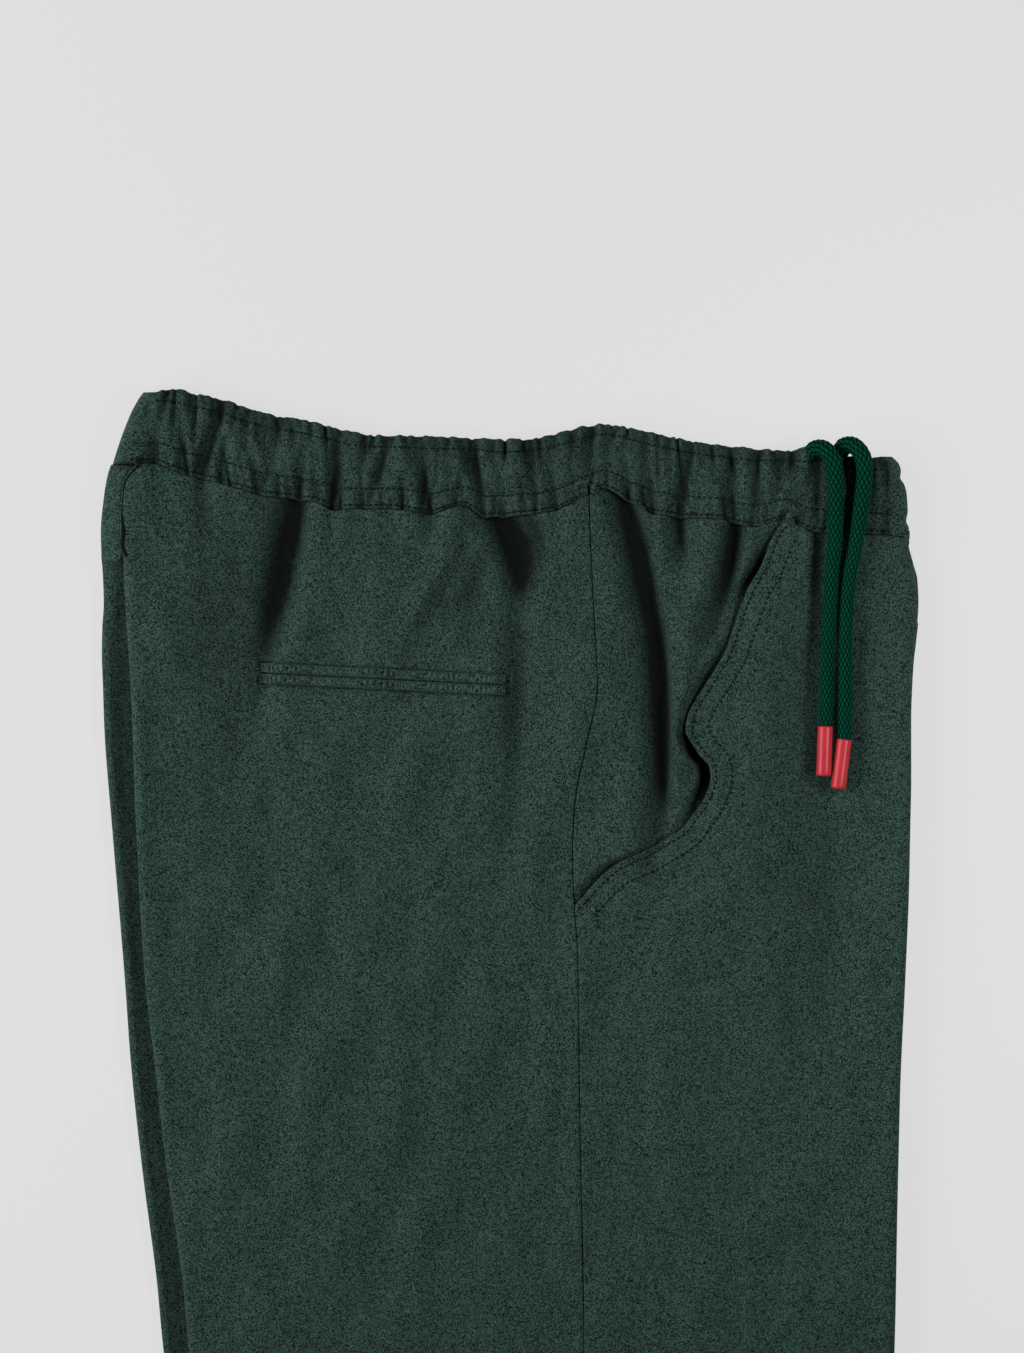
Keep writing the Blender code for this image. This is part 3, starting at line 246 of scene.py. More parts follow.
LOWER_ROW = 0.27         # shares of the band's height where its casing is stitched
UPPER_ROW = 0.83
EDGE_ROW = 0.05
PANEL_TUCK = 6.0         # level that the panels are tucked down to in it
PANEL_TUCKS = (4.0, 10.0)        # least and most depth of that tuck
BAND_EDGES = (0.8, 1.2)  # reach of the rounding at its lower and its upper edge
CORD_ROOM = (150.0, 164.0, 194.0, 206.0)     # stretch lifted by the drawcord inside
CORD_LIFT = 5.7          # how far that stretch's inner wall rises
CORD_RISE = 1.5          # how far its face does
CORD_EVENS = 0.35        # share of its folds that the cord smooths away
# Arches of the casing between its rows of stitches.
CASING_ARCHES = [
    # start end rise power
    (0.0, LOWER_ROW, 0.5, 0.7),
    (LOWER_ROW, UPPER_ROW, 1.5, 0.8),
    (UPPER_ROW, 1.0, 0.7, 0.8),
]
CASING_PULL = 1.6        # the two rows of its tunnel are this much deeper than other rows
# Gathers of the waistband, from its upper to its lower edge: strongest is the share of
# its height where a gather is deepest.
GATHERS = [
    # head_x  foot_x  depth width strongest
    (-186, -181, 2.6, 3.4, 0.1),
    (-175.5, -175, 2.2, 2.6, 1),
    (-159.5, -172, 5.2, 3.2, 0.4),
    (-146, -150, 2.4, 3, 0.9),
    (-130, -133, 3.6, 2.8, 1),
    (-122, -140, 2.4, 3.6, 0.2),
    (-113, -118, 4.4, 3, 0),
    (-94, -99, 4.6, 3, 0.2),
    (-80, -86, 2.2, 2.6, 1),
    (-65, -80, 3.4, 3, 0.6),
    (-51, -44, 4.4, 3.2, 0.3),
    (-36, -31, 2.4, 2.8, 0.9),
    (-21, -14, 5.4, 3.2, 0.5),
    (-6, -3, 3, 2.8, 0),
    (12, 13.5, 4.6, 3, 0.8),
    (21, 26, 3.6, 2.8, 0.1),
    (34, 36, 2.4, 2.6, 1),
    (47, 43.5, 3.8, 3, 0.7),
    (62, 67, 3.8, 3, 0),
    (76, 80, 3.6, 3, 0.1),
    (89, 92, 2.4, 2.6, 1),
    (102, 96, 5.2, 3.2, 0.4),
    (113, 114, 2.4, 2.6, 1),
    (124, 125, 4.2, 3, 0.2),
    (138, 140, 2.4, 2.6, 0.9),
    (153.5, 147, 3.8, 3, 0.8),
    (163, 162, 2.4, 2.6, 0.2),
    (173.5, 172, 4.4, 3.6, 0.6),
    (202, 200.5, 3.6, 4, 0.7),
    (210, 211, 2.6, 2.4, 1),
]
GATHER_REACH = 0.60      # how far along the band's height a gather stays deep
GATHER_SIDES = (1.5, 0.7)   # a gather is softer to the back than to the front
NOTCH_SHARE = 0.315      # share of the gathers' depth that notches the upper edge
SINK_LIMIT = 5.6         # the deepest that gathers and puckers sink the casing
FOOT_DIP = 0.26          # share of a gather's depth that it lowers the band's lower edge
PUCKER_SPAN = (-203.0, 214.0)
PUCKER_LEAN = 6.5        # spread of their slants
PUCKER_WIDTHS = (0.9, 2.0)
PUFF_COUNT = 90
PUFF_SPAN = (-205.0, 215.0)
PUFF_SHARES = (0.05, 0.95)       # of the band's height
PUFF_WIDTHS = (3.0, 7.5)
PUFF_HEIGHTS = (0.10, 0.28)      # as such shares
PUFF_RISES = (-2.4, 1.7)         # one below 0 is a dent
PUFF_LEAN = 10.0

# ---- folds of the cloth (mm)
FOLD_SHARE = 0.8         # share of a gather's depth in the panel just below the band
FOLD_LENGTH = 22.0       # how fast that fold fades downwards
FOLD_SWING = 0.3         # share of the gather's slant that the fold goes on with
FOLD_SWING_LENGTH = 40.0     # distance down at which it has swung fully
FOLD_WIDENING = 30.0     # distance in which it gains its own width
FOLD_SIDES = (1.4, 0.8)  # it is wider to the back than to the front
FOLD_FLOOR = 5.2         # the upper leg's cloth sinks no lower
FLOOR_SOFTNESS = 2.0     # how gently it comes down to that
DEEPEST = 8.4            # from this depth on a fold's painted shade is at its darkest
RIPPLE_COUNT = 46
RIPPLE_LENGTHS = (9.0, 60.0)
RIPPLE_SPREAD = 0.55     # of their directions, in radians
RIPPLE_STEEPNESS = 0.0042        # their height as a share of their length
CALM_LEVELS = (-60.0, 140.0)     # the ripples are calmer down the leg
EVEN_LEVELS = (-500.0, -450.0)   # and the cloth is even at its hem
# A crease runs from start to end; bow bends it sideways, depth is how far it sinks
# (negative: a ridge), soft and crisp are its widths to the back and to the front, and
# peak says where along it is deepest, 0 at the start.
CREASE_FADE = 0.8
CREASES = [
    # start_x start_y  end_x   end_y   bow  depth soft  crisp peak
    # the main folds
    (-113, 508, -140, 362, 3, 5.6, 22, 7, 0.46),
    (-113, 505, -138.5, 376, 3, 5.2, 9.5, 4.6, 0.52),
    (-133, 420, -143.5, 330, 0.5, 1.8, 4, 2.8, 0.45),
    (-26, 482, 12, 410, 6, 5.8, 9, 16, 0.55),
    (-25, 482, 10, 416, 6, 5.8, 6, 12, 0.52),
    (50, 520, 79, 252, 17.5, 5, 13.5, 5.6, 0.5),
    (56, 500, 81, 256, 17, 5.2, 9.5, 3.6, 0.54),
    (112, 440, 98, 290, -8, -2.3, 5, 4, 0.5),
    (104, 350, 104, 288, -3, 2.6, 6, 5, 0.5),
    (85.2, 412, 87, 292, 1, 3.8, 6, 2.6, 0.5),
    # soft folds that hang from the waistband
    (-24, 474, -72, 378, -3, -3.4, 8, 7, 0.35),
    (-34, 452, -72, 376, -4, 2.6, 6, 6, 0.55),
    (-10, 440, -50, 386, 2, 2.4, 7, 6, 0.45),
    (-84, 452, -40, 438, -2, 2.2, 5, 7, 0.6),
    (5, 452, 0, 250, 2, 4.6, 8, 6, 0.34),
    (12, 466, 21, 434, 0, 3.6, 4, 3.4, 0.4),
    (93, 486, 97, 426, 0, 6.6, 6, 4.4, 0.45),
    (130, 474, 106, 380, 4, 9.5, 8.5, 4.6, 0.33),
    (58, 486, 78, 400, 4, 3.4, 12, 7, 0.3),
    (-173, 488, -166, 440, 0, 3.6, 6, 4.6, 0.22),
    (-166, 470, -160, 230, 0, 3.2, 20, 20, 0.36),
    (-48, 466, -34, 432, 0, 2.2, 6, 5, 0.25),
    (-90, 468, -86, 420, 0, 1.2, 9, 7, 0.3),
    (176, 300, 178, 180, 0, 1, 12, 12, 0.4),
    (0, 366, 0, 330, 0, 1.6, 3.4, 4, 0.25),
    (-200, 330, -172, 60, 0, 1.3, 20, 18, 0.45),
    (-206, 480, -204, 380, 0, -0.8, 9, 9, 0.4),
    (-110, 240, -98, 20, 4, -0.9, 26, 24, 0.5),
    (-20, 240, -8, 40, -3, 1.2, 20, 20, 0.5),
    (120, 250, 112, 20, 4, 0.8, 22, 20, 0.5),
    (164, 440, 168, 120, 0, 3.4, 24, 22, 0.4),
    (208, 440, 212, 200, 0, -0.8, 10, 8, 0.4),
    (-27, 462, -66, 384, 3, -2, 3.5, 3.5, 0.5),
    (-18, 462, -57, 384, 3, 2.6, 5, 4.5, 0.5),
    (-36, 472, -76, 392, 3, 1.7, 6, 4.5, 0.5),
    (175.5, 486, 174, 384, 0, 3.6, 6.5, 5, 0.4),
    (-13, 446, -27, 372, 0, 2.4, 12, 10, 0.45),
    # hidden lower half of the leg
    (-80, 0, -50, -260, 8, 1.2, 20, 16, 0.5),
    (60, -20, 90, -330, -8, 1.3, 18, 22, 0.45),
    (-40, -180, 10, -420, 6, -1, 16, 18, 0.5),
    (150, -60, 120, -300, 5, 1, 16, 16, 0.5),
]

# ---- stitches (mm)
STITCH_PITCH = 3.2
STITCH_LENGTH = 2.2
STITCH_WIDTH = 1.15
GRAIN = [                # one stitch, as shares of half that length and width
    # along girth
    (-1.0, 0.35), (-0.72, 0.85), (0.0, 1.0), (0.72, 0.85), (1.0, 0.35),
]
GRAIN_DIP = 0.22         # how far its ends go down into the cloth
STITCH_SMOOTHING = 31    # steps over which a row beside the mouth takes its direction

# ---- drawcord (mm)
CORD_DIAMETER = 8.6
CORD_SWELLING = 1.16     # share of that diameter at the cord's start
CORD_NARROWING = 0.22    # share that it loses further on
CORD_NARROWS = (30.0, 130.0)     # between these lengths along the cord
ROUTE_SPACING = 0.45
BRAID_STRANDS = 10       # strands that lean each way round the cord
BRAID_PITCH = 2.5        # length of one crossing along the cord
BRAID_RELIEF = 0.6
BRAID_UNDER = 0.35       # power of the strand that is under another one
TIP_DIAMETER = 8.4
TIP_LENGTH = 28.0
# Each free end comes up out of the waist opening, turns over the band and lies down it.
CORD_INNER = [
    (168.2, 474, 8.1), (167.6, 482, 8.1), (167.8, 490, 8.4), (168.4, 494.8, 10.6),
    (171.4, 498.6, 15.2), (176.6, 497.8, 19.6), (180.4, 492.4, 21.7), (182, 485, 21.9),
    (182.2, 472, 21.6), (182.2, 457, 21.4), (181.4, 443, 20.5), (180, 429, 19.9),
    (179.3, 414, 19.6), (178.6, 400, 19.5), (177.8, 386, 19.4), (177.5, 371, 19.3),
    (177.1, 357, 19.3), (176.6, 343.3, 19.2),
]
CORD_OUTER = [
    (184.6, 475, 8.1), (184.2, 483, 8.1), (184.6, 490, 8.4), (184.9, 495.2, 10.6),
    (187.6, 500.2, 15.2), (192.8, 499.8, 19.5), (197.2, 494.2, 21.6), (198.4, 486, 22),
    (197.2, 472, 21.6), (195.4, 457.5, 21.4), (193.2, 443.5, 20.5), (190.5, 429, 19.9),
    (188.8, 414.4, 19.6), (188, 400, 19.5), (187.6, 386, 19.4), (187.4, 371, 19.3),
    (187.3, 357, 19.3), (187.2, 336, 19.2),
]
TIP_INNER_LEAN = (-1.0, -28.0)   # the way it points
TIP_OUTER_LEAN = (-3.5, -28.0)

# ---- how fine the meshes are
BACK_COLUMNS = 104
FRONT_COLUMNS = 92
FACING_COLUMNS = 88
FACING_ROWS = 172
UNDER_COLUMNS = 26
INNER_COLUMNS = 60
BAND_SECTIONS = 820
UNDER_SECTIONS = 90
HEM_SECTIONS = 90
WELT_SECTIONS = 150
WELT_SIDES = 20
CORD_SIDES = 60
TIP_SIDES = 48
GRAIN_SIDES = 6
STITCH_STEPS = 900       # points on the path of a long row of stitches

# ---- colours and picture
THREADS_PER_METRE = 1900.0
THREAD_DARK = (0.0010, 0.0065, 0.0045, 1.0)
THREAD_LIGHT = (0.0480, 0.0950, 0.0750, 1.0)
# the near-black that the linen's colour goes towards where shade is painted into it
PAINTED_SHADE_COLOUR = (0.0010, 0.0016, 0.0014, 1.0)
FRAME_HEIGHT = 757.7     # millimetres of the table that the picture is high
FRAME_CENTRE = (1.3, 371.0)      # its middle: across, level
FOCUS_HEIGHT = 13.0      # that height is measured at the upper cloth
CAMERA_HEIGHT = 5000.0
SENSOR = 36.0            # width of the camera's own picture
TABLE_REACH = 9000.0
BACKDROP_REACH = 14000.0


# ---- arithmetic
def smooth(start, end, value):
    """0 before start, 1 after end and an S between them."""
    t = np.clip((value - start) / (end - start), 0.0, 1.0)
    return t * t * (3.0 - 2.0 * t)


def bell(distance):
    """A Gaussian: 1 at distance 0, about a third at 1 and almost 0 from 2 on."""
    return np.exp(-distance ** 2)


def unit(vectors):
    """Vectors made 1 long."""
    return vectors / np.linalg.norm(vectors, axis=-1, keepdims=True)


def running_sum(steps):
    """0, then the sum of the first step, of the first two and so on."""
    return np.concatenate([[0.0], np.cumsum(steps)])


def full_turn(count):
    """Angles spread evenly round a circle."""
    return np.linspace(0.0, 2.0 * math.pi, count, endpoint=False)


def grid_of(*coordinates):
    """A grid of points or UVs from coordinates that each spread over all of it."""
    return np.stack(np.broadcast_arrays(*coordinates), axis=-1)


def cell_of(keys, at):
    """The number of the stretch between two keys that each place lies in."""
    return np.clip(np.searchsorted(keys, at, side="right") - 1, 0, len(keys) - 2)


def cubic(t, width, first, first_slope, last, last_slope):
    """The cubic from first to last with these slopes, at the share t of its width."""
    return ((2.0 * t ** 3 - 3.0 * t ** 2 + 1.0) * first
            + (t ** 3 - 2.0 * t ** 2 + t) * width * first_slope
            + (3.0 * t ** 2 - 2.0 * t ** 3) * last
            + (t ** 3 - t ** 2) * width * last_slope)


def read(table, at, column=1):
    """A column of a table at the keys `at`, on a smooth curve through its rows.

    Between two rows it is a cubic.  Its slope at a row is the harmonic mean of the slopes
    on both sides, and 0 where the values turn, so it never overshoots.
    """
    rows = np.array(sorted(table), dtype=float)
    keys, values = rows[:, 0], rows[:, column]
    step = np.diff(keys)
    rise = np.diff(values) / step
    before, after = rise[:-1], rise[1:]
    same = before * after > 0.0
    bend = 2.0 * before * after / np.where(same, before + after, 1.0)
    slope = np.concatenate([rise[:1], np.where(same, bend, 0.0), rise[-1:]])
    at = np.clip(at, keys[0], keys[-1])
    cell = cell_of(keys, at)
    t = (at - keys[cell]) / step[cell]
    return cubic(t, step[cell], values[cell], slope[cell], values[cell + 1], slope[cell + 1])


# ---- outlines and seams
def height(y):
    """Height of the whole garment at its middle."""
    return read(THICKNESS, y)


def table_level(x, y):
    """The height of what lies flat on the table."""
    return np.zeros_like(x)


def side_seam(y):
    """Place across of the side seam at the levels y."""
    return read(SIDE_SEAM, y)


def mouth(y):
    """The pocket's mouth, and the side seam below it."""
    return np.where(y > MOUTH_FOOT, read(POCKET_MOUTH, y), side_seam(y))


def side(table, name, y):
    """One of the values of a folded edge at the levels y."""
    return read(table, y, SIDE_COLUMNS.index(name))


def shoulder(table, sign, leg):
    """Where a folded edge goes over into the flat face of the "upper" or "lower" leg.

    The sign is 1 at the back edge and -1 at the front edge.
    """
    def across(y):
        return side(table, leg, y) + sign * side(table, "round_" + leg, y)

    return across


# The gathers at the waistband's lower edge: head_x, foot_x, depth there and width.
FOOT_GATHERS = [(head_x, foot_x, depth * bell(strongest / GATHER_REACH), width)
                for head_x, foot_x, depth, width, strongest in GATHERS]


def band_foot(x):
    """The waistband's lower edge, a little lower where a gather reaches it."""
    dip = 0.0
    for _, foot_x, depth, width in FOOT_GATHERS:
        dip = dip + FOOT_DIP * depth * bell((x - foot_x) / width)
    return read(BAND_FOOT, x) - dip


def under_foot(x):
    """The waistband's lower edge on the underside, a straight line."""
    (first_x, first_y), (last_x, last_y) = BAND_FOOT[0], BAND_FOOT[-1]
    return first_y + (last_y - first_y) * (x - first_x) / (last_x - first_x)


def hem_top(x):
    """Level of the hems' upper edge, a slanting line."""
    return HEM_LEVEL + HEM_DEPTH + HEM_SLOPE * x


# ---- folds of the cloth
def creases(x, y):
    """How far the creases sink the cloth.

    A crease sinks by depth * sin(pi * along^power)^fade * exp(-(aside / width)^2), where
    along goes from 0 to 1 up its bowed line and aside is the distance from that line.
    """
    sink = 0.0
    for x0, y0, x1, y1, bow, depth, soft, crisp, peak in CREASES:
        run = math.hypot(x1 - x0, y1 - y0)
        ux = (x1 - x0) / run
        uy = (y1 - y0) / run
        along = np.clip(((x - x0) * ux + (y - y0) * uy) / run, 0.0, 1.0)
        aside = -(x - x0) * uy + (y - y0) * ux - 4.0 * bow * along * (1.0 - along)
        power = math.log(0.5) / math.log(peak)
        fade = np.sin(math.pi * along ** power) ** CREASE_FADE
        sink = sink + depth * fade * bell(aside / np.where(aside < 0.0, soft, crisp))
    return sink


def hanging_folds(x, y):
    """Small folds that the waistband's gathers start in the cloth below it.

    Each is a Gaussian trough under its gather that widens and fades with the distance.
    """
    below = np.maximum(band_foot(x) - y, 0.0)
    swing = FOLD_SWING * np.minimum(below, FOLD_SWING_LENGTH) / FOLD_SWING_LENGTH
    sink = 0.0
    for head_x, foot_x, depth, width in FOOT_GATHERS:
        centre = foot_x + (foot_x - head_x) * swing
        reach = width * (0.9 + below / FOLD_WIDENING) * np.where(x < centre, *FOLD_SIDES)
        sink = sink + depth * FOLD_SHARE * bell((x - centre) / reach) * np.exp(-below / FOLD_LENGTH)
    return sink


def make_ripples():
    """Directions, phases and heights of the cloth's small uneven waves."""
    draw = np.random.default_rng(41)
    length = draw.uniform(*RIPPLE_LENGTHS, RIPPLE_COUNT)
    angle = draw.normal(0.0, RIPPLE_SPREAD, RIPPLE_COUNT)
    phase = draw.uniform(0.0, 2.0 * math.pi, RIPPLE_COUNT)
    return np.stack([np.cos(angle) / length, np.sin(angle) / length, phase,
                     RIPPLE_STEEPNESS * length], axis=1)


RIPPLES = make_ripples()


def ripples(x, y):
    """Sum of small sine waves, mostly across the leg, so that the cloth isn't even."""
    total = 0.0
    for across, along, phase, lift in RIPPLES:
        total = total + lift * np.sin(2.0 * math.pi * (across * x + along * y) + phase)
    return total


def pocket_bed(x, y):
    """How far the back pocket's welts lie in the cloth: a shallow bed with a soft rim."""
    share = (x - WELT_LEFT[0]) / (WELT_RIGHT[0] - WELT_LEFT[0])
    down = WELT_LEFT[1] + (WELT_RIGHT[1] - WELT_LEFT[1]) * share - y
    inside = smooth(*BED_HEAD, down) * (1.0 - smooth(*BED_FOOT, down))
    ends = smooth(*BED_START, share) * (1.0 - smooth(*BED_END, share))
    return BED_DEPTH * inside * ends


def painted_fold_shade(x, y):
    """Painted shade of a point from how deep it lies in the folds, from 0 to 1."""
    depth = creases(x, y) + hanging_folds(x, y) * 0.5
    return np.clip(depth / DEEPEST, 0.0, 1.0) ** 1.4


def top_of_cloth(x, y):
    """Height of the upper leg's cloth, even at the hem and never quite down to the floor.

    Above the floor it is the mean of the height and the root of its square plus a constant.
    """
    sunk = creases(x, y) + hanging_folds(x, y) + pocket_bed(x, y)
    calm = 0.55 + 0.45 * smooth(*CALM_LEVELS, y)
    lift = (ripples(x, y) * calm - sunk) * smooth(*EVEN_LEVELS, y)
    above = height(y) + lift - FOLD_FLOOR
    return FOLD_FLOOR + 0.5 * (above + np.sqrt(above ** 2 + FLOOR_SOFTNESS))


def seam_ridge(distance):
    """The cloth stands up a little beside a pressed seam."""
    rise, away, width = SEAM_RIDGE
    return rise * bell((distance - away) / width)


def stitch_groove(distance):
    """A row of stitches presses the cloth in."""
    depth, width = STITCH_GROOVE
    return depth * bell(distance / width)


def mouth_gape(x, y):
    """How much deeper the facing lies where the pocket's mouth gapes."""
    gape = 0.0
    for level, reach, depth in GAPES:
        gape = gape + depth * bell((y - level) / reach)
    return gape * smooth(*GAPE_STARTS, x - mouth(y))


# ---- making meshes
def piece_of(name, points, faces, finish):
    """A smooth piece from points in millimetres and the corners of its faces."""
    mesh = bpy.data.meshes.new(name)
    mesh.from_pydata((points.reshape(-1, 3) * MM).tolist(), [], faces)
    mesh.shade_smooth()
    mesh.materials.append(finish)
    piece = bpy.data.objects.new(name, mesh)
    bpy.context.scene.collection.objects.link(piece)
    return piece


def sew(name, points, uv, finish, flip=False, round_columns=False, round_rows=False, caps=False,
        **marks):
    """A quad mesh over a grid of points (rows, columns, 3) with a UV for every corner.

    uv has one more column or row than points where the grid is closed that way.  Each of
    marks gives every point a value from 0 to 1 that the finish reads by its name.
    """
    rows, columns = points.shape[:2]
    r, c = np.meshgrid(np.arange(rows - (not round_rows)), np.arange(columns - (not round_columns)),
                       indexing="ij")
    corners = [(r, c), (r + 1, c), (r + 1, c + 1), (r, c + 1)]
    if flip:
        corners = corners[::-1]
    faces = np.stack([(a % rows) * columns + b % columns for a, b in corners], axis=-1)
    faces = faces.reshape(-1, 4).tolist()
    loops = np.stack([uv[a, b] for a, b in corners], axis=2).reshape(-1, 2)
    if caps:
        ring = list(range(columns))
        last = [(rows - 1) * columns + k for k in ring]
        faces += [ring[::-1] if flip else ring, last if flip else last[::-1]]
        loops = np.concatenate([loops, np.zeros((2 * columns, 2))])
    piece = piece_of(name, points, faces, finish)
    piece.data.uv_layers.new(name="cloth").data.foreach_set("uv", (loops * MM).ravel())
    for mark, values in marks.items():
        layer = piece.data.attributes.new(mark, "FLOAT", "POINT")
        layer.data.foreach_set("value", np.broadcast_to(values, points.shape[:2]).ravel())
    return piece


def place(piece, slot, *nodes):
    """The piece rides on the body and stands for CAD nodes, which it hides.  The slot is not used."""
    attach(piece, "root")
    if nodes:
        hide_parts(*nodes)
    return piece


def surface_uv(grid):
    """Lengths along each row of a grid, counted from its middle column, and levels."""
    run = np.hypot(np.diff(grid[:, :, 0], axis=1), np.diff(grid[:, :, 2], axis=1))
    length = np.concatenate([np.zeros((len(grid), 1)), np.cumsum(run, axis=1)], axis=1)
    middle = grid.shape[1] // 2
    u = length - length[:, middle:middle + 1] + grid[:, middle:middle + 1, 0]
    return grid_of(u, grid[:, :, 1])


def panel_of(node, grid, sunk, flip=False):
    """One layer of linen over a grid, with its thickness behind its face; sunk is the painted shade of
    each point.
    """
    piece = sew(node + "_cloth", grid, surface_uv(grid), LINEN, flip=flip, sunk=sunk)
    wall = piece.modifiers.new("wall", "SOLIDIFY")
    wall.thickness = CLOTH * MM
    wall.offset = -1.0
    return place(piece, "linen", node)


# edge: (axis of the grid across it, its index, direction off it)
EDGES = {"left": (1, 0, -1.0), "right": (1, -1, 1.0), "top": (0, 0, 1.0), "foot": (0, -1, -1.0)}


def turn_under(grid, edge, path):
    """Adds a turned edge along a path of (outwards, inwards) distances.

    The grid's rows go down the garment and its columns to the front.  Outwards goes along
    the garment's axis off the edge, inwards is into the cloth, against its unit normal.
    Either distance may differ along the edge.
    """
    axis, last, out = EDGES[edge]
    normals = unit(np.cross(np.gradient(grid, axis=0), np.gradient(grid, axis=1)))
    rim = np.take(grid, last, axis=axis)
    normal = np.take(normals, last, axis=axis)
    strips = []
    for outward, inward in path:
        strip = rim - normal * np.broadcast_to(inward, rim.shape[:1])[:, None]
        strip[:, 1 - axis] += out * outward
        strips.append(strip)
    if last == 0:
        return np.concatenate([np.stack(strips[::-1], axis=axis), grid], axis=axis)
    return np.concatenate([grid, np.stack(strips, axis=axis)], axis=axis)


def folded_back(radius):
    """Half a circle down and a flat strip back under the cloth."""
    angle = np.linspace(0.0, math.pi, 8)[1:]
    turn = [(radius * math.sin(a), radius * (1.0 - math.cos(a))) for a in angle]
    return turn + [(-SEAM_ALLOWANCE / 2.0, 2.0 * radius), (-SEAM_ALLOWANCE, 2.0 * radius)]


def into_band(depth):
    """A rounded shoulder, then down to the waistband's inside and up behind it."""
    angle = np.linspace(0.0, math.pi / 2.0, 5)[1:]
    turn = [(SEAM_ROLL * math.sin(a), SEAM_ROLL * (1.0 - math.cos(a))) for a in angle]
    return turn + [(SEAM_ROLL + 0.05, depth * 0.5), (SEAM_ROLL + 0.3, depth * 0.9),
                   (SEAM_ROLL + 1.2, depth), (SEAM_ROLL + 4.0, depth)]


def tuck_into_band(grid):
    """Turns a panel's top edge into the waistband, deeper where the panel lies higher."""
    return turn_under(grid, "top", into_band(np.clip(grid[0, :, 2] - PANEL_TUCK, *PANEL_TUCKS)))


# ---- legs
def levels(rows, foot, margin):
    """Levels of the rows by the place across, from the waistband's foot to the hem's top."""
    def at(x):
        top = foot(x) - margin
        return top + (hem_top(x) + margin - top) * rows[:, None]

    return at


def flat_grid(level, left, right, columns, surface):
    """A flat face between two edges, with its columns at their shares of the width.

    Where a row meets a column depends on both slopes, so they settle on it step by step.
    """
    across = columns[None, :]
    y = level(np.zeros_like(across))
    for _ in range(SETTLE_STEPS):
        x = left(y) + (right(y) - left(y)) * across
        y = 0.5 * (y + level(x))
    return grid_of(left(y) + (right(y) - left(y)) * across, y, surface(x, y))


def folded_edge(grid, level, table, sign, leg):
    """The rounded fold beside a flat face, from the tuck between the legs to that face.

    Seen along the leg it runs flat outwards in the tuck, then on the ellipse
    x = reach * (1 - cos(angle)), z = middle + half * sin(angle).  One fold round both
    legs is an ellipse of the garment's height, a leg's own fold is one of the leg's.
    """
    face = grid[:, 0 if sign > 0 else -1]
    y = face[:, 1:2]
    top = height(y)
    seam, split = side(table, "seam", y), side(table, "split", y)

    def half_and_start(span):
        """Half the ellipse's height, and the angle where this leg's share of it starts."""
        shared = top * (1.0 - split) + span * split
        half = np.maximum(shared / 2.0, span / 2.0 + TINY)
        return half, np.arcsin(np.clip(span / half - 1.0, -1.0, 1.0))

    upper_start = half_and_start(top - seam)[1]
    groove = (sign * side(table, "upper", y) + side(table, "tuck", y)
              + side(table, "round_upper", y) * (1.0 - np.cos(upper_start)))
    half, start = half_and_start(top - seam if leg == "upper" else seam)
    edge, reach = side(table, leg, y), side(table, "round_" + leg, y)
    start_x = reach * (1.0 - np.cos(start))
    run = np.maximum(groove - sign * edge - start_x, SEAM_ALLOWANCE)
    angle = -start + (math.pi / 2.0 + start) * ARC
    out = np.concatenate([start_x + run * (1.0 - TUCK), reach * (1.0 - np.cos(angle))], axis=1)
    rise = np.concatenate([np.repeat(np.sin(-start), len(TUCK), axis=1), np.sin(angle)], axis=1)
    in_gap = (out > start_x - TINY) * (rise < 0.999)
    z = top - half * (1.0 - rise) + SEAM_GAP / 2.0 * in_gap
    if leg == "lower":
        z = top - z
    else:
        low = z[:, :1]
        z = z + (face[:, 2:] - top) * np.clip((z - low) / (top - low), 0.0, 1.0)
    x = edge + sign * out
    ring = grid_of(x, level(x), z)
    return np.concatenate([ring, grid] if sign > 0 else [grid, ring[:, ::-1]], axis=1)


def tuck_shade(columns, sign, split):
    """How much painted shade the columns of a folded edge get.

    Below the crotch it is darkest in the tuck between the legs.  Above it only the centre
    back seam, the line between the two legs' panels, gets painted shade.
    """
    tuck = np.ones(len(TUCK))
    gap = np.concatenate([tuck, PAINTED_TUCK_SHADE * (1.0 - smooth(0.0, 0.45, ARC))])
    line = np.concatenate([tuck, PAINTED_LINE_SHADE * (ARC < ARC[1])]) * (sign > 0)
    edge = line + (gap - line) * split[:, None]
    dark = np.zeros((len(split), columns))
    if sign > 0:
        dark[:, :edge.shape[1]] = edge
    else:
        dark[:, -edge.shape[1]:] = edge[:, ::-1]
    return dark


def right_back_panel():
    """From the centre back seam round the folded edge and across to the side seam."""
    def edge(y):
        return side_seam(y) - SEAM_MARGIN

    def surface(x, y):
        return top_of_cloth(x, y) + seam_ridge(side_seam(y) - x)

    level = levels(LEG_ROWS, band_foot, SEAM_MARGIN)
    grid = flat_grid(level, shoulder(BACK_SIDE, 1.0, "upper"), edge,
                     np.linspace(0.0, 1.0, BACK_COLUMNS), surface)
    grid = folded_edge(grid, level, BACK_SIDE, 1.0, "upper")
    grid = turn_under(grid, "right", folded_back(SEAM_ROLL))
    grid = turn_under(tuck_into_band(grid), "foot", folded_back(SEAM_ROLL))
    x, y = grid[:, :, 0], grid[:, :, 1]
    shade = tuck_shade(grid.shape[1], 1.0, side(BACK_SIDE, "split", y[:, 0]))
    # its colour gets painted shade in its folds, in the pocket's bed, in the tuck below the crotch and
    # along the centre back seam above it
    return panel_of("right_back_panel", grid,
                    np.maximum(painted_fold_shade(x, y) + pocket_bed(x, y) * BED_SHADE, shade))


def mouth_radius(y):
    """The turned edge is thicker along the pocket's mouth than along the side seam."""
    return SEAM_ROLL + (MOUTH_ROLL - SEAM_ROLL) * smooth(*ROLL_LEVELS, y)


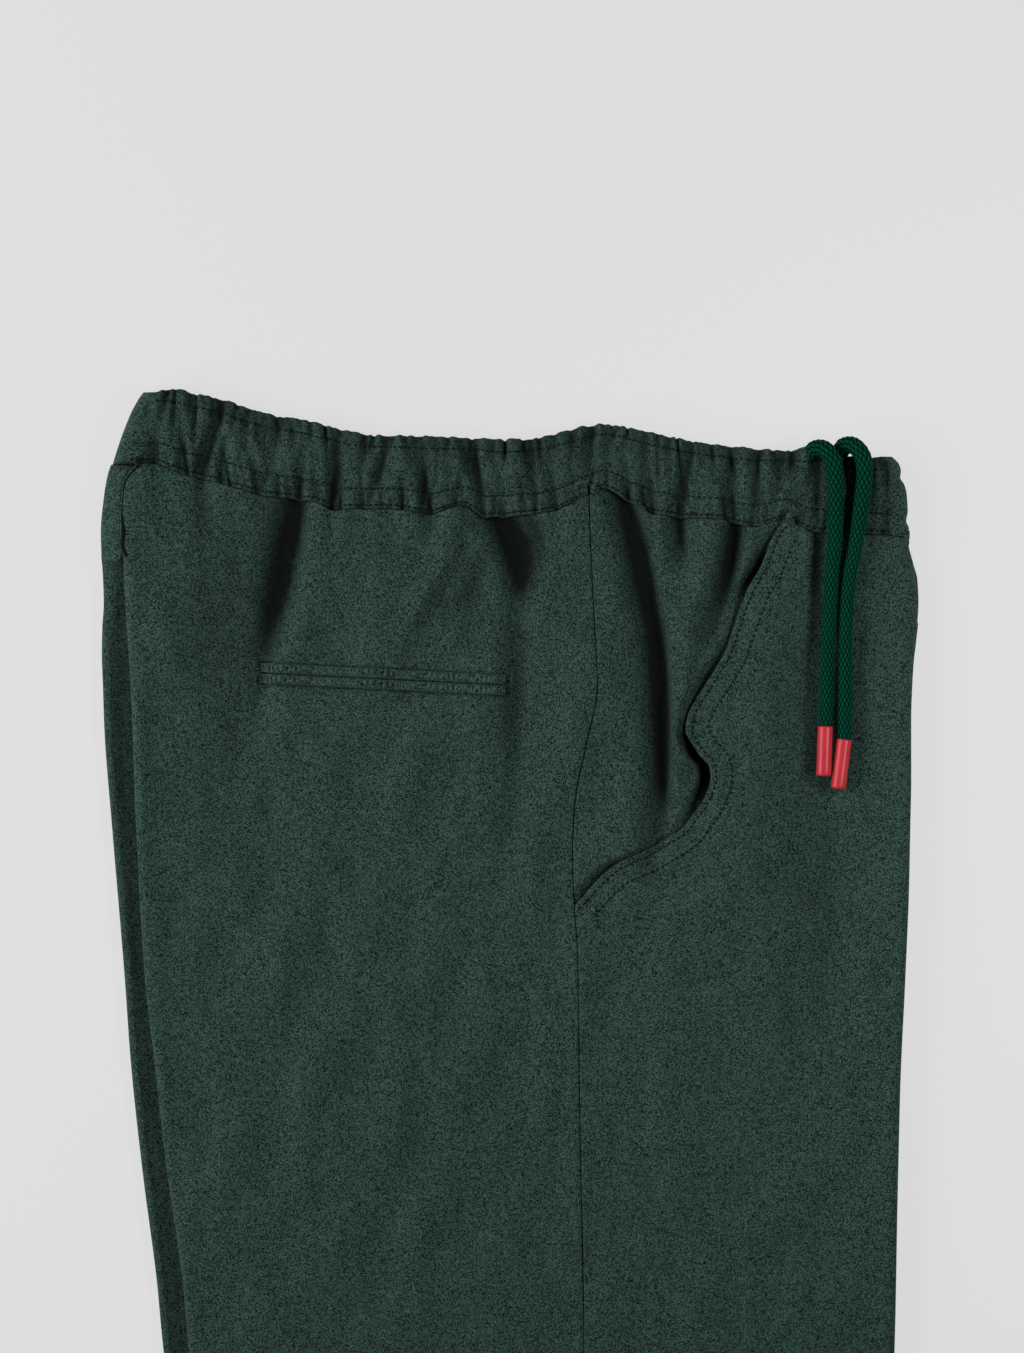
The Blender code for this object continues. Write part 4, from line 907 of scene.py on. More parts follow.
def front_surface(x, y):
    """The front panel, which stands up a little along the pocket's mouth."""
    lean = (mouth(y + 1.0) - mouth(y - 1.0)) / 2.0
    away = (x - mouth(y)) / np.sqrt(1.0 + lean ** 2)
    beside = smooth(*LIP_LEVELS, y)
    rise, width = LIP
    lip = rise * bell(away / width)
    rows = stitch_groove(away - MOUTH_EDGE_ROW) + stitch_groove(away - MOUTH_INNER_ROW)
    return top_of_cloth(x, y) + (lip - rows) * beside + seam_ridge(away) * (1.0 - beside) * 0.5


def right_front_panel():
    """From the pocket's mouth, and the side seam below it, round the front folded edge."""
    def edge(y):
        return mouth(y) + SEAM_GAP / 2.0 + mouth_radius(y)

    level = levels(LEG_ROWS, band_foot, SEAM_MARGIN)
    columns = np.linspace(0.0, 1.0, FRONT_COLUMNS) ** 1.12       # closer together at the mouth
    grid = flat_grid(level, edge, shoulder(FRONT_SIDE, -1.0, "upper"), columns, front_surface)
    radius = mouth_radius(grid[:, 0, 1])
    grid = folded_edge(grid, level, FRONT_SIDE, -1.0, "upper")
    grid = turn_under(grid, "left", folded_back(radius))
    grid = turn_under(tuck_into_band(grid), "foot", folded_back(SEAM_ROLL))
    x, y = grid[:, :, 0], grid[:, :, 1]
    # its colour gets painted shade in its folds and in the tuck below the crotch
    shade = tuck_shade(grid.shape[1], -1.0, side(FRONT_SIDE, "split", y[:, -1]))
    return panel_of("right_front_panel", grid, np.maximum(painted_fold_shade(x, y), shade))


def facing_surface(x, y):
    """The facing sinks under the pocket's mouth, and deeper where the mouth gapes."""
    drop = MOUTH_STEP * smooth(*STEP_STARTS, x - mouth(y)) + mouth_gape(x, y)
    return (np.maximum(top_of_cloth(x, y) - drop, FACING_FLOOR)
            + seam_ridge(x - side_seam(y)) * 0.3)


def right_pocket_facing():
    """The cloth seen in the pocket's opening, from the side seam to under the mouth."""
    def left(y):
        return side_seam(y) + SEAM_MARGIN

    def right(y):
        return mouth(y) + POCKET_UNDERLAP

    level = levels(np.linspace(0.0, FACING_LENGTH, FACING_ROWS), band_foot, SEAM_MARGIN)
    grid = flat_grid(level, left, right, np.linspace(0.0, 1.0, FACING_COLUMNS), facing_surface)
    grid = tuck_into_band(turn_under(grid, "left", folded_back(SEAM_ROLL)))
    x, y = grid[:, :, 0], grid[:, :, 1]
    # its colour gets painted shade in its folds and where the pocket's mouth gapes
    return panel_of("right_pocket_facing", grid,
                    np.clip(painted_fold_shade(x, y) + mouth_gape(x, y) / GAPE_DARKEST, 0.0, 1.0))


def lower_panel(node, first, last, table, sign):
    """One panel of the lower leg, flat underneath, with its rounded edge."""
    rows = np.append(LEG_ROWS[:-1:2], 1.0)
    level = levels(rows, under_foot, SEAM_GAP / 2.0)
    grid = flat_grid(level, shoulder(BACK_SIDE, 1.0, "lower"), shoulder(FRONT_SIDE, -1.0, "lower"),
                     np.linspace(first, last, UNDER_COLUMNS), table_level)
    grid = folded_edge(grid, level, table, sign, "lower")
    upwards = [(outward - SEAM_ROLL, -inward) for outward, inward in into_band(UNDER_TUCK)]
    grid = turn_under(grid, "top", upwards)
    split = side(table, "split", grid[:, 0, 1])
    # painted shade in the tuck and on the line between the panels, less of it on the folded edge below
    # the crotch
    shade = tuck_shade(grid.shape[1], sign, split) * (1.0 - UNDER_LIT * split[:, None])
    return panel_of(node, grid, shade, flip=True)


def inner_layers():
    """The cloth inside both legs: a rounded bundle that stays clear of what covers it.

    Its section is a loop with a flat floor.  Its upper face keeps below the lowest cloth
    nearby and comes down to both ends as the root of 1 - 0.9 * ends^6.
    """
    back, front = shoulder(BACK_SIDE, 1.0, "upper"), shoulder(FRONT_SIDE, -1.0, "upper")
    across = np.linspace(0.0, 1.0, INNER_COLUMNS)
    grid = flat_grid(levels(LEG_ROWS[8::4], band_foot, INNER_INSET + 1.0),
                     lambda y: back(y) + INNER_INSET, lambda y: front(y) - INNER_INSET,
                     across, table_level)
    x, y = grid[:, :, 0], grid[:, :, 1]
    low = np.min([facing_surface(x + dx, y + dy) for dx, dy in INNER_NEAR], axis=0)
    ends = np.abs(2.0 * across - 1.0)
    rise = np.maximum(low - INNER_CLEARANCE, INNER_LEAST) - INNER_EDGE
    upper = INNER_EDGE + rise * np.sqrt(1.0 - ends ** 6 * 0.9)
    loop = np.concatenate([grid_of(x, y, upper), grid_of(x, y, INNER_FLOOR)[:, ::-1]], axis=1)
    uv = np.concatenate([loop, loop[:, :1]], axis=1)[:, :, :2]
    piece = sew("inner_layers_cloth", loop, uv, LINEN, round_columns=True, caps=True)
    return place(piece, "linen", "hidden_layers")


# ---- waistband
def make_puckers(seed, spacing, shortest, longest, shallow, deep, from_top):
    """Fine creases of the casing: where they start, lean, end, their depths and widths.

    Each starts at its upper or its lower edge and ends somewhere in between.
    """
    draw = np.random.default_rng(seed)
    start_x = np.arange(*PUCKER_SPAN, spacing)
    count = len(start_x)
    start_x = start_x + draw.uniform(-0.45, 0.45, count) * spacing
    reach = draw.uniform(shortest, longest, count)
    return np.stack([start_x, draw.normal(0.0, PUCKER_LEAN, count), reach,
                     draw.uniform(shallow, deep, count), draw.uniform(*PUCKER_WIDTHS, count),
                     np.full(count, float(from_top))], axis=1)


PUCKERS = np.concatenate([
    # seed spacing shortest longest shallow deep from_top
    make_puckers(7, 4.4, 0.12, 0.40, 0.7, 2.2, True),
    make_puckers(8, 8.5, 0.35, 0.95, 1.0, 3.2, True),
    make_puckers(9, 5.6, 0.10, 0.45, 0.4, 1.6, False),
    make_puckers(10, 10.0, 0.4, 0.9, 0.8, 2.8, False),
])


def make_puffs():
    """Places, sizes, heights and leans of the casing's soft puffs between its gathers."""
    draw = np.random.default_rng(23)
    columns = [draw.uniform(*span, PUFF_COUNT)
               for span in (PUFF_SPAN, PUFF_SHARES, PUFF_WIDTHS, PUFF_HEIGHTS, PUFF_RISES)]
    return np.stack([*columns, draw.normal(0.0, PUFF_LEAN, PUFF_COUNT)], axis=1)


PUFFS = make_puffs()


def band_across(along, share):
    """Place across the band at `along`, 0 to 1 between the roundings of its two ends."""
    left = read(BAND_LEFT, share) + BAND_ROUND
    right = read(BAND_RIGHT, share) - BAND_ROUND
    return left + (right - left) * along


def puff_lift(x, share):
    """Soft uneven puffs: slanting Gaussian bumps and dents."""
    lift = 0.0
    for puff_x, puff_share, reach, height_share, rise, lean in PUFFS:
        up = share - puff_share
        lift = lift + rise * bell((x - puff_x - lean * up) / reach) * bell(up / height_share)
    return lift


def gather_sink(x, share):
    """How far the gathers and the fine puckers sink the casing.

    Both are Gaussian troughs.  The deepest gather counts at each point; the puckers widen
    and fade along their reach and add up.
    """
    sink = 0.0
    for head_x, foot_x, depth, width, strongest in GATHERS:
        aside = x - foot_x - (head_x - foot_x) * share
        reach = width * np.where(aside < 0.0, *GATHER_SIDES)
        here = depth * bell((share - strongest) / GATHER_REACH)
        sink = np.maximum(sink, here * bell(aside / reach))
    for start_x, lean, reach, depth, width, from_top in PUCKERS:
        run = 1.0 - share if from_top else share
        fade = 1.0 - smooth(0.3, 1.0, run / reach)
        trough = bell((x - start_x - lean * run) / (width * (1.0 + 0.8 * run / reach)))
        sink = sink + depth * fade * trough
    return sink


def swelling(share, start, end, rise, power):
    """An arch rise * sin(pi * way)^power between two shares of the band's height."""
    way = np.clip((share - start) / (end - start), 0.0, 1.0)
    return rise * np.sin(math.pi * way) ** power


def casing_bulge(share):
    """The casing swells between its stitch rows and is pressed flat on them."""
    arches = sum(swelling(share, *arch) for arch in CASING_ARCHES)
    lower, upper, edge = [stitch_groove((share - row) * BAND_DEPTH)
                          for row in (LOWER_ROW, UPPER_ROW, EDGE_ROW)]
    return arches - CASING_PULL * (lower + upper) - edge


def cord_room(x):
    """The drawcord inside the opening lifts the upper half of the band."""
    start, full, fall, end = CORD_ROOM
    return smooth(start, full, x) * (1.0 - smooth(fall, end, x))


def band_face(x, share):
    """Height of the casing's outer face; its folds sink it to the limit and no further."""
    room = cord_room(x)
    sink = gather_sink(x, share) - puff_lift(x, share)
    sink = SINK_LIMIT * np.tanh(sink / SINK_LIMIT) * (1.0 - CORD_EVENS * room)
    return BAND_CREST + CORD_RISE * room + casing_bulge(share) - sink


def band_level(foot_x, head_x, share, upper, notch=0.0):
    """Level of a point of the band; the puckers notch its upper edge."""
    foot = (band_foot(foot_x) if upper else under_foot(foot_x)) + SEAM_GAP / 2.0
    head = read(BAND_HEAD, head_x) - notch
    return foot + (head - foot) * share


def band_profile():
    """Shares of the height and of the wall round the casing: up its face, over and down."""
    up = np.linspace(0.0, 1.0, 40)
    rim = np.linspace(0.0, 1.0, 5)[1:-1]
    face = [(share, 0.0) for share in up]
    over = [(1.0, depth) for depth in rim]
    inside = [(share, 1.0) for share in np.linspace(1.0, 0.0, 8)]
    foot = [(0.0, depth) for depth in rim[::-1]]
    return np.array(face + over + inside + foot).T


def band_section(along, upper):
    """Sections of the casing at the places `along`, on one side of the garment."""
    share, depth = band_profile()
    along = along[:, None]
    x = band_across(along, share)
    notch = NOTCH_SHARE * gather_sink(x, 1.0) * smooth(0.7, 1.0, share)
    y = band_level(band_across(along, 0.0), band_across(along, 1.0), share, upper, notch)
    if upper:
        foot_edge, head_edge = BAND_EDGES
        outer = (band_face(x, share) - np.exp(-share * BAND_DEPTH / foot_edge)
                 - np.exp(-(1.0 - share) * BAND_DEPTH / head_edge))
        inner = np.minimum(BAND_INSIDE + CORD_LIFT * cord_room(x), outer - 1.0)
    else:
        outer, inner = 0.0, BAND_UNDER
    return grid_of(x, y, outer + (inner - outer) * depth)


def band_turn(along, sign, angles):
    """A folded end: the upper section swings round to the lower one."""
    depth = band_profile()[1]
    at = np.array([along])
    high = band_section(at, True)
    lean = ((1.0 + np.sin(angles)) / 2.0)[:, None, None]
    ring = high * lean + band_section(at, False) * (1.0 - lean)
    reach = BAND_ROUND - BAND_UNDER * depth
    ring[:, :, 0] = high[:, :, 0] + sign * reach * np.cos(angles)[:, None]
    return ring


def waistband():
    """One gathered casing all round, folded at the centre front and the centre back."""
    angles = np.linspace(math.pi / 2.0, -math.pi / 2.0, 14)[1:-1]
    upper = band_section(np.linspace(0.0, 1.0, BAND_SECTIONS), True)
    lower = band_section(np.linspace(1.0, 0.0, UNDER_SECTIONS), False)
    sections = np.concatenate([upper, band_turn(1.0, 1.0, angles), lower,
                               band_turn(0.0, -1.0, -angles)])
    closed = np.pad(sections, ((0, 1), (0, 1), (0, 0)), mode="wrap")
    step = np.diff(closed, axis=0)[:, 0]
    climb = np.diff(closed, axis=1)[0]
    uv = grid_of(running_sum(np.hypot(step[:, 0], step[:, 2]))[:, None],
                 running_sum(np.hypot(climb[:, 1], climb[:, 2])))
    # painted shade in the gathers of the band's upper face
    sunk = np.zeros(sections.shape[:2])
    folds = gather_sink(upper[:, :, 0], band_profile()[0])
    sunk[:len(upper)] = np.clip(folds / BAND_DARKEST, 0.0, 1.0)
    piece = sew("waistband_cloth", sections, uv, LINEN, flip=True, round_columns=True,
                round_rows=True, sunk=sunk)
    return place(piece, "linen", "waistband")


# ---- hems
def hem_profile():
    """Shares of the hem's depth and distances into it: down its face and up inside.

    The face is rounded at both edges by exp(-distance / HEM_EDGE) and pressed in by its
    stitches.  A lip of the turned-up cloth stands inside the leg, under the panels.
    """
    down = np.linspace(1.0, 0.0, 16)
    face = [(share, 0.5 * math.exp(-share * HEM_DEPTH / HEM_EDGE)
             + 0.5 * math.exp(-(1.0 - share) * HEM_DEPTH / HEM_EDGE)
             + stitch_groove((share - HEM_ROW) * HEM_DEPTH)) for share in down]
    inside = [(0.0, 1.0)] + [(share, HEM_INSIDE) for share in down[::-3]]
    return np.array(face + inside + HEM_LIP).T


def hem(node, leg):
    """A turned-up hem: a flattened ring of doubled cloth with rounded edges."""
    low, high = {"upper": ((HEM_HEIGHT + SEAM_GAP) / 2.0, HEM_HEIGHT),
                 "lower": (0.0, (HEM_HEIGHT - SEAM_GAP) / 2.0)}[leg]
    radius = (high - low) / 2.0
    flat = np.linspace(0.0, 1.0, HEM_SECTIONS)
    still = np.zeros(len(flat))
    turn = np.linspace(math.pi / 2.0, -math.pi / 2.0, 12)[1:-1]
    across = np.concatenate([flat, np.ones(len(turn)), flat[::-1], np.zeros(len(turn))])[:, None]
    out = np.concatenate([still, np.cos(turn), still, -np.cos(turn)])[:, None]
    rise = np.concatenate([still + 1.0, np.sin(turn), still - 1.0, -np.sin(turn)])[:, None]
    share, depth = hem_profile()
    y = HEM_LEVEL + HEM_DEPTH * share - SEAM_GAP / 2.0
    left = side(BACK_SIDE, leg, y) + radius
    right = side(FRONT_SIDE, leg, y) - radius
    x = left + (right - left) * across + out * (radius - depth)
    sections = grid_of(x, y + HEM_SLOPE * x, (high + low) / 2.0 + rise * (radius - depth))
    uv = grid_of(np.arange(len(sections) + 1)[:, None] * HEM_UV_STEP,
                 np.append(share, share[0]) * HEM_DEPTH)
    piece = sew(node + "_cloth", sections, uv, LINEN, round_columns=True, round_rows=True)
    return place(piece, "linen", node)


# ---- back pocket
def squared(wave):
    """A sine or cosine with its tops flattened, for a strip with rounded edges."""
    return np.sign(wave) * np.abs(wave) ** 0.55


def welt(node, middle):
    """One welt of the back pocket: a soft strip with rounded edges, closed at its ends."""
    centre = WELT_DROP * middle
    half = WELT_DROP / 4.0 - WELT_GAP
    angle = full_turn(WELT_SIDES)
    down = centre + half * squared(np.cos(angle))
    thick = WELT_HALF * squared(np.sin(angle))
    x0 = WELT_LEFT[0] + WELT_SLANT[0] * down / WELT_DROP
    x1 = WELT_RIGHT[0] + WELT_SLANT[1] * down / WELT_DROP
    x = x0 + (x1 - x0) * np.linspace(0.0, 1.0, WELT_SECTIONS)[:, None]
    slope = (WELT_RIGHT[1] - WELT_LEFT[1]) / (WELT_RIGHT[0] - WELT_LEFT[0])
    y = WELT_LEFT[1] + slope * (x - WELT_LEFT[0]) - down
    crown = WELT_CROWN * (1.0 - ((down - centre) / half) ** 2)
    z = top_of_cloth(x, y) + WELT_HALF + thick + np.where(thick > 0.0, crown, 0.0)
    uv = grid_of(np.linspace(0.0, WELT_DROP, WELT_SIDES + 1),
                 np.linspace(0.0, WELT_UV_LENGTH, WELT_SECTIONS)[:, None])
    piece = sew(node + "_cloth", grid_of(x, y, z), uv, LINEN, round_columns=True, caps=True)
    return place(piece, "linen", node)


# ---- stitches
def stitch_row(name, path):
    """A row of stitches along a path, each a small grain of thread that dips at its ends.

    A grain is a row of rings round its length, and it dips by GRAIN_DIP * along^2.
    """
    run = running_sum(np.linalg.norm(np.diff(path, axis=0), axis=1))
    at = np.arange(STITCH_PITCH / 2.0, run[-1], STITCH_PITCH)

    def on_path(place_at):
        return np.stack([np.interp(place_at, run, path[:, k]) for k in range(3)], axis=1)

    way = unit(on_path(at + 0.5) - on_path(at - 0.5))
    sideways = unit(np.cross(way, [0.0, 0.0, 1.0]))
    axes = np.stack([way, sideways, np.cross(sideways, way)], axis=1)
    along, girth = np.array(GRAIN).T[:, :, None]
    radius = girth * STITCH_WIDTH / 2.0
    angle = full_turn(GRAIN_SIDES)
    grain = grid_of(along * STITCH_LENGTH / 2.0, radius * np.cos(angle),
                    radius * np.sin(angle) - GRAIN_DIP * along ** 2).reshape(-1, 3)
    points = on_path(at)[:, None, :] + np.einsum("pk,skc->spc", grain, axes)
    start, c = np.meshgrid(np.arange(len(along) - 1) * GRAIN_SIDES, np.arange(GRAIN_SIDES),
                           indexing="ij")
    after, following = start + GRAIN_SIDES, (c + 1) % GRAIN_SIDES
    quads = np.stack([start + c, start + following, after + following, after + c], axis=-1)
    shift = np.arange(len(at))[:, None] * len(grain)
    faces = (quads.reshape(-1, 4) + shift[:, :, None]).reshape(-1, 4).tolist()
    faces += (np.arange(GRAIN_SIDES)[::-1] + shift).tolist()
    faces += (np.arange(len(grain) - GRAIN_SIDES, len(grain)) + shift).tolist()
    return place(piece_of(name, points, faces, THREAD), "linen")


def band_stitches(name, share):
    """A stitch row along the band's face, at a share of its height."""
    along = np.linspace(0.004, 0.996, STITCH_STEPS)
    x = band_across(along, share)
    y = band_level(band_across(along, 0.0), band_across(along, 1.0), share, True)
    return stitch_row(name, grid_of(x, y, band_face(x, share) + 0.3))


def mouth_stitches(name, offset, span):
    """A stitch row beside the pocket's mouth, `offset` from its edge, between two levels.

    It follows the edge's direction, a mean over some steps, as a sewing foot would.
    """
    y = np.linspace(*span, STITCH_STEPS)
    edge = grid_of(mouth(y), y)
    half = STITCH_SMOOTHING // 2
    padded = np.pad(np.gradient(edge, axis=0), ((half, half), (0, 0)), mode="edge")
    weights = np.full(STITCH_SMOOTHING, 1.0 / STITCH_SMOOTHING)
    way = unit(grid_of(*[np.convolve(padded[:, k], weights, mode="valid") for k in range(2)]))
    x, y = (edge + offset * grid_of(-way[:, 1], way[:, 0])).T
    keep = x > side_seam(y) + 2.0
    x, y = x[keep], y[keep]
    return stitch_row(name, grid_of(x, y, front_surface(x, y) + 0.15))


def hem_stitches(name):
    """The row that holds the upper leg's hem."""
    x = np.linspace(*HEM_STITCH_SPAN, 200)
    y = HEM_LEVEL + HEM_DEPTH * HEM_ROW + HEM_SLOPE * x
    return stitch_row(name, grid_of(x, y, HEM_HEIGHT - 0.2))


# ---- drawcord
def smooth_route(points):
    """A smooth curve through the route's points, read at an even spacing."""
    route = np.array(points)
    knot = running_sum(np.linalg.norm(np.diff(route, axis=0), axis=1))
    slope = np.gradient(route, knot, axis=0)
    at = np.linspace(0.0, knot[-1], int(round(knot[-1] / ROUTE_SPACING)) + 1)
    cell = cell_of(knot, at)
    width = (knot[cell + 1] - knot[cell])[:, None]
    t = (at - knot[cell])[:, None] / width
    return cubic(t, width, route[cell], slope[cell], route[cell + 1], slope[cell + 1])


def cord(name, node, points):
    """A round braided cord: two families of strands that lean against each other.

    On the unrolled surface a strand is a ridge |sin| of its own family's phase.  Where the
    two families cross, the one on top changes from each crossing to the next.
    """
    route = smooth_route(points)
    way = unit(np.gradient(route, axis=0))
    across = unit(np.array([1.0, 0.0, 0.0]) - way[:, :1] * way)
    up = np.cross(across, way)
    length = running_sum(np.linalg.norm(np.diff(route, axis=0), axis=1))
    angle = full_turn(CORD_SIDES)
    around = BRAID_STRANDS * angle / (2.0 * math.pi)
    climb = length[:, None] / (2.0 * BRAID_PITCH)
    left_lean, right_lean = around + climb, around - climb
    left_ridge = np.abs(np.sin(math.pi * left_lean))
    right_ridge = np.abs(np.sin(math.pi * right_lean))
    left_on_top = (np.floor(left_lean) + np.floor(right_lean)) % 2 < 1
    relief = np.where(left_on_top, left_ridge * right_ridge ** BRAID_UNDER,
                      right_ridge * left_ridge ** BRAID_UNDER)
    spread = CORD_SWELLING - CORD_NARROWING * smooth(*CORD_NARROWS, length[:, None])
    radius = CORD_DIAMETER / 2.0 * spread - BRAID_RELIEF * (1.0 - relief)
    ring = (np.cos(angle)[:, None] * across[:, None, :] + np.sin(angle)[:, None] * up[:, None, :])
    uv = grid_of(np.linspace(0.0, math.pi * CORD_DIAMETER, CORD_SIDES + 1), length[:, None])
    # the relief mark also sets the painted shade in the grooves between the strands
    piece = sew(name, route[:, None, :] + radius[:, :, None] * ring, uv, CORD, round_columns=True,
                caps=True, relief=relief)
    place(piece, "cord", node)
    tuple(route[0] * MM)
    (route[::6] * MM).tolist()
    return piece


def cord_tip(name, node, points, lean):
    """A barrel tip pushed over the cord's end: a profile turned about the cord's line."""
    way = unit(np.array([*lean, 0.0]))
    sideways = np.array([-way[1], way[0], 0.0])
    up = np.array([0.0, 0.0, 1.0])
    radius = TIP_DIAMETER / 2.0
    profile = np.array([
        # along  radius
        (0.9, radius - 1.5), (0.3, radius - 0.9), (0.15, radius - 0.45), (0.4, radius - 0.12),
        (0.9, radius), (7.0, radius), (14.0, radius), (21.0, radius),
        (TIP_LENGTH - 1.3, radius), (TIP_LENGTH - 0.6, radius - 0.16),
        (TIP_LENGTH - 0.15, radius - 0.55), (TIP_LENGTH, radius - 1.1), (TIP_LENGTH, radius - 2.4),
    ])
    angle = full_turn(TIP_SIDES)
    centre = np.array(points[-1]) + way * profile[:, :1]
    ring = np.cos(angle)[:, None] * sideways + np.sin(angle)[:, None] * up
    grid = centre[:, None, :] + profile[:, 1, None, None] * ring
    uv = grid_of(np.linspace(0.0, math.pi * TIP_DIAMETER, TIP_SIDES + 1), profile[:, :1])
    return place(sew(name, grid, uv, TIP, round_columns=True, caps=True), "tip", node)


# ---- finishes
class Value:
    """One shader socket, with the arithmetic of shader values."""

    def __init__(self, finish, socket):
        self.finish = finish
        self.socket = socket

    def maths(self, operation, *values):
        return self.finish.node("ShaderNodeMath", {"operation": operation}, dict(enumerate(values)))

    def __add__(self, other):
        return self.maths("ADD", self, other)

    def __sub__(self, other):
        return self.maths("SUBTRACT", self, other)

    def __rsub__(self, other):
        return self.maths("SUBTRACT", other, self)

    def __mul__(self, other):
        return self.maths("MULTIPLY", self, other)

    def floor(self):
        return self.maths("FLOOR", self)

    __radd__ = __add__
    __rmul__ = __mul__


class Finish:
    """A material under construction."""

    def __init__(self, name):
        self.material = bpy.data.materials.new(name)
        self.material.use_nodes = True
        self.tree = self.material.node_tree
        self.tree.nodes.clear()

    def node(self, kind, settings=None, values=None, out=0):
        """A node of any type: its settings first, then the values or links of its sockets."""
        node = self.tree.nodes.new(kind)
        for key, value in (settings or {}).items():
            setattr(node, key, value)
        for key, value in (values or {}).items():
            if isinstance(value, Value):
                self.tree.links.new(value.socket, node.inputs[key])
            else:
                node.inputs[key].default_value = value
        return Value(self, node.outputs[out]) if node.outputs else None

    def noise(self, at, stretch, detail=2.0, roughness=0.5):
        """Noise from 0 to 1 on coordinates in metres; stretch is how many cells fit a metre."""
        mapped = self.node("ShaderNodeMapping", {}, {"Vector": at, "Scale": stretch})
        return self.node("ShaderNodeTexNoise", {}, {"Vector": mapped, "Scale": 1.0, "Detail": detail,
                                                    "Roughness": roughness})

    def own_uv(self):
        """The cloth's own coordinates, in metres along its surface."""
        return self.node("ShaderNodeUVMap", {"uv_map": "cloth"})

    def mark(self, name):
        """A value that the mesh gives each point."""
        return self.node("ShaderNodeAttribute", {"attribute_name": name}, {}, out=2)

    def join(self, x, y):
        """A place from its two coordinates."""
        return self.node("ShaderNodeCombineXYZ", {}, {"X": x, "Y": y})

    def sharpen(self, value, low, high):
        """0 below low, 1 above high."""
        return self.node("ShaderNodeMapRange", {}, {"Value": value, "From Min": low, "From Max": high})

    def blend(self, share, first, second):
        """A mix of two colours."""
        return self.node("ShaderNodeMix", {"data_type": "RGBA"}, {0: share, 6: first, 7: second},
                         out=2)

    def bump(self, relief, strength, distance):
        """The surface's direction over a relief `distance` metres high."""
        return self.node("ShaderNodeBump", {}, {"Strength": strength, "Distance": distance,
                                                "Height": relief})

    def surface(self, values):
        """The finished material, on the shader for solid surfaces."""
        return self.done(self.node("ShaderNodeBsdfPrincipled", {}, values))

    def done(self, shader):
        """The material, with this shader as its surface."""
        self.node("ShaderNodeOutputMaterial", {}, {"Surface": shader})
        return self.material


def linen_finish():
    """Slubby plain-weave linen: uneven threads both ways, thick threads here and there, and painted
    shade towards a near-black where a piece's sunk mark is high.
    """
    finish = Finish("linen_weave")
    uv = finish.own_uv()
    across = finish.node("ShaderNodeSeparateXYZ", {}, {"Vector": uv}, out=0)
    along = finish.node("ShaderNodeSeparateXYZ", {}, {"Vector": uv}, out=1)
    column = (across * THREADS_PER_METRE).floor()
    row = (along * THREADS_PER_METRE).floor()
    speck = finish.node("ShaderNodeTexWhiteNoise", {}, {"Vector": finish.join(column, row)})
    weft = finish.noise(finish.join(across * 240.0, row * 5.7), (1.0, 1.0, 1.0), 1.0)
    warp = finish.noise(finish.join(column * 5.7, along * 210.0), (1.0, 1.0, 1.0), 1.0)
    slub = finish.sharpen(finish.noise(uv, (50.0, 1500.0, 1.0), 1.0), 0.66, 0.80)
    rib = finish.sharpen(finish.noise(uv, (1300.0, 36.0, 1.0), 1.0), 0.66, 0.80)
    patch = finish.noise(uv, (70.0, 50.0, 1.0), 3.0, 0.6)
    shade = speck * 1.16 + weft * 0.48 + warp * 0.38 + slub * 0.18 + rib * 0.14 + patch * 0.18 - 0.64
    colour = finish.blend(finish.sharpen(shade, 0.0, 1.0), THREAD_DARK, THREAD_LIGHT)
    # painted shade: the sunk mark darkens the weave towards near-black in folds, tucks, seams and
    # gapes
    colour = finish.blend(finish.mark("sunk") * 0.93, colour, PAINTED_SHADE_COLOUR)
    relief = speck * 0.5 + weft * 0.6 + warp * 0.5 + slub * 0.5 + patch * 0.5
    return finish.surface({
        "Base Color": colour, "Roughness": 0.95, "Sheen Weight": 0.06, "Sheen Roughness": 0.5,
        "Specular IOR Level": 0.08, "Normal": finish.bump(relief, 0.55, 0.00035)})


def thread_finish():
    """Sewing thread, darker than the linen."""
    finish = Finish("sewing_thread")
    at = finish.node("ShaderNodeTexCoord", {}, {}, out=3)
    grain = finish.noise(at, (900.0, 900.0, 900.0))
    colour = finish.blend(grain, (0.0010, 0.0038, 0.0030, 1.0), (0.0036, 0.0098, 0.0078, 1.0))
    return finish.surface({"Base Color": colour, "Roughness": 0.8, "Specular IOR Level": 0.15})


def cord_finish():
    """Braided thread with painted shade between the strands: near-black in the grooves, the cord's
    green on the strands.
    """
    finish = Finish("braided_cord")
    fibre = finish.noise(finish.own_uv(), (2600.0, 700.0, 1.0), 2.0)
    # painted shade: the strands' relief, with some fibre tone, takes the colour from near-black in the
    # grooves to green on top
    lit = finish.sharpen(finish.mark("relief") + fibre * 0.35, 0.35, 1.2)
    colour = finish.blend(lit, (0.0001, 0.0022, 0.0013, 1.0), (0.0003, 0.0670, 0.0365, 1.0))
    return finish.surface({"Base Color": colour, "Roughness": 0.6, "Specular IOR Level": 0.02,
                           "Normal": finish.bump(fibre, 0.4, 0.0002)})


def tip_finish():
    """Satin red tips with a few pale scuffs."""
    finish = Finish("red_tip")
    at = finish.node("ShaderNodeTexCoord", {}, {}, out=3)
    cloud = finish.noise(at, (160.0, 90.0, 160.0), 3.0)
    scuff = finish.sharpen(finish.noise(at, (900.0, 500.0, 900.0), 2.0), 0.72, 0.80)
    base = finish.blend(cloud, (0.40, 0.014, 0.024, 1.0), (0.55, 0.032, 0.046, 1.0))
    colour = finish.blend(scuff * 0.5, base, (0.85, 0.45, 0.45, 1.0))
    return finish.surface({"Base Color": colour, "Roughness": cloud * 0.10 + 0.30,
                           "Specular IOR Level": 0.3})


def glow(finish, strength):
    """White light of its own, so that the ground is evenly pale."""
    return finish.node("ShaderNodeEmission", {}, {"Color": (1.0, 1.0, 1.0, 1.0), "Strength": strength})


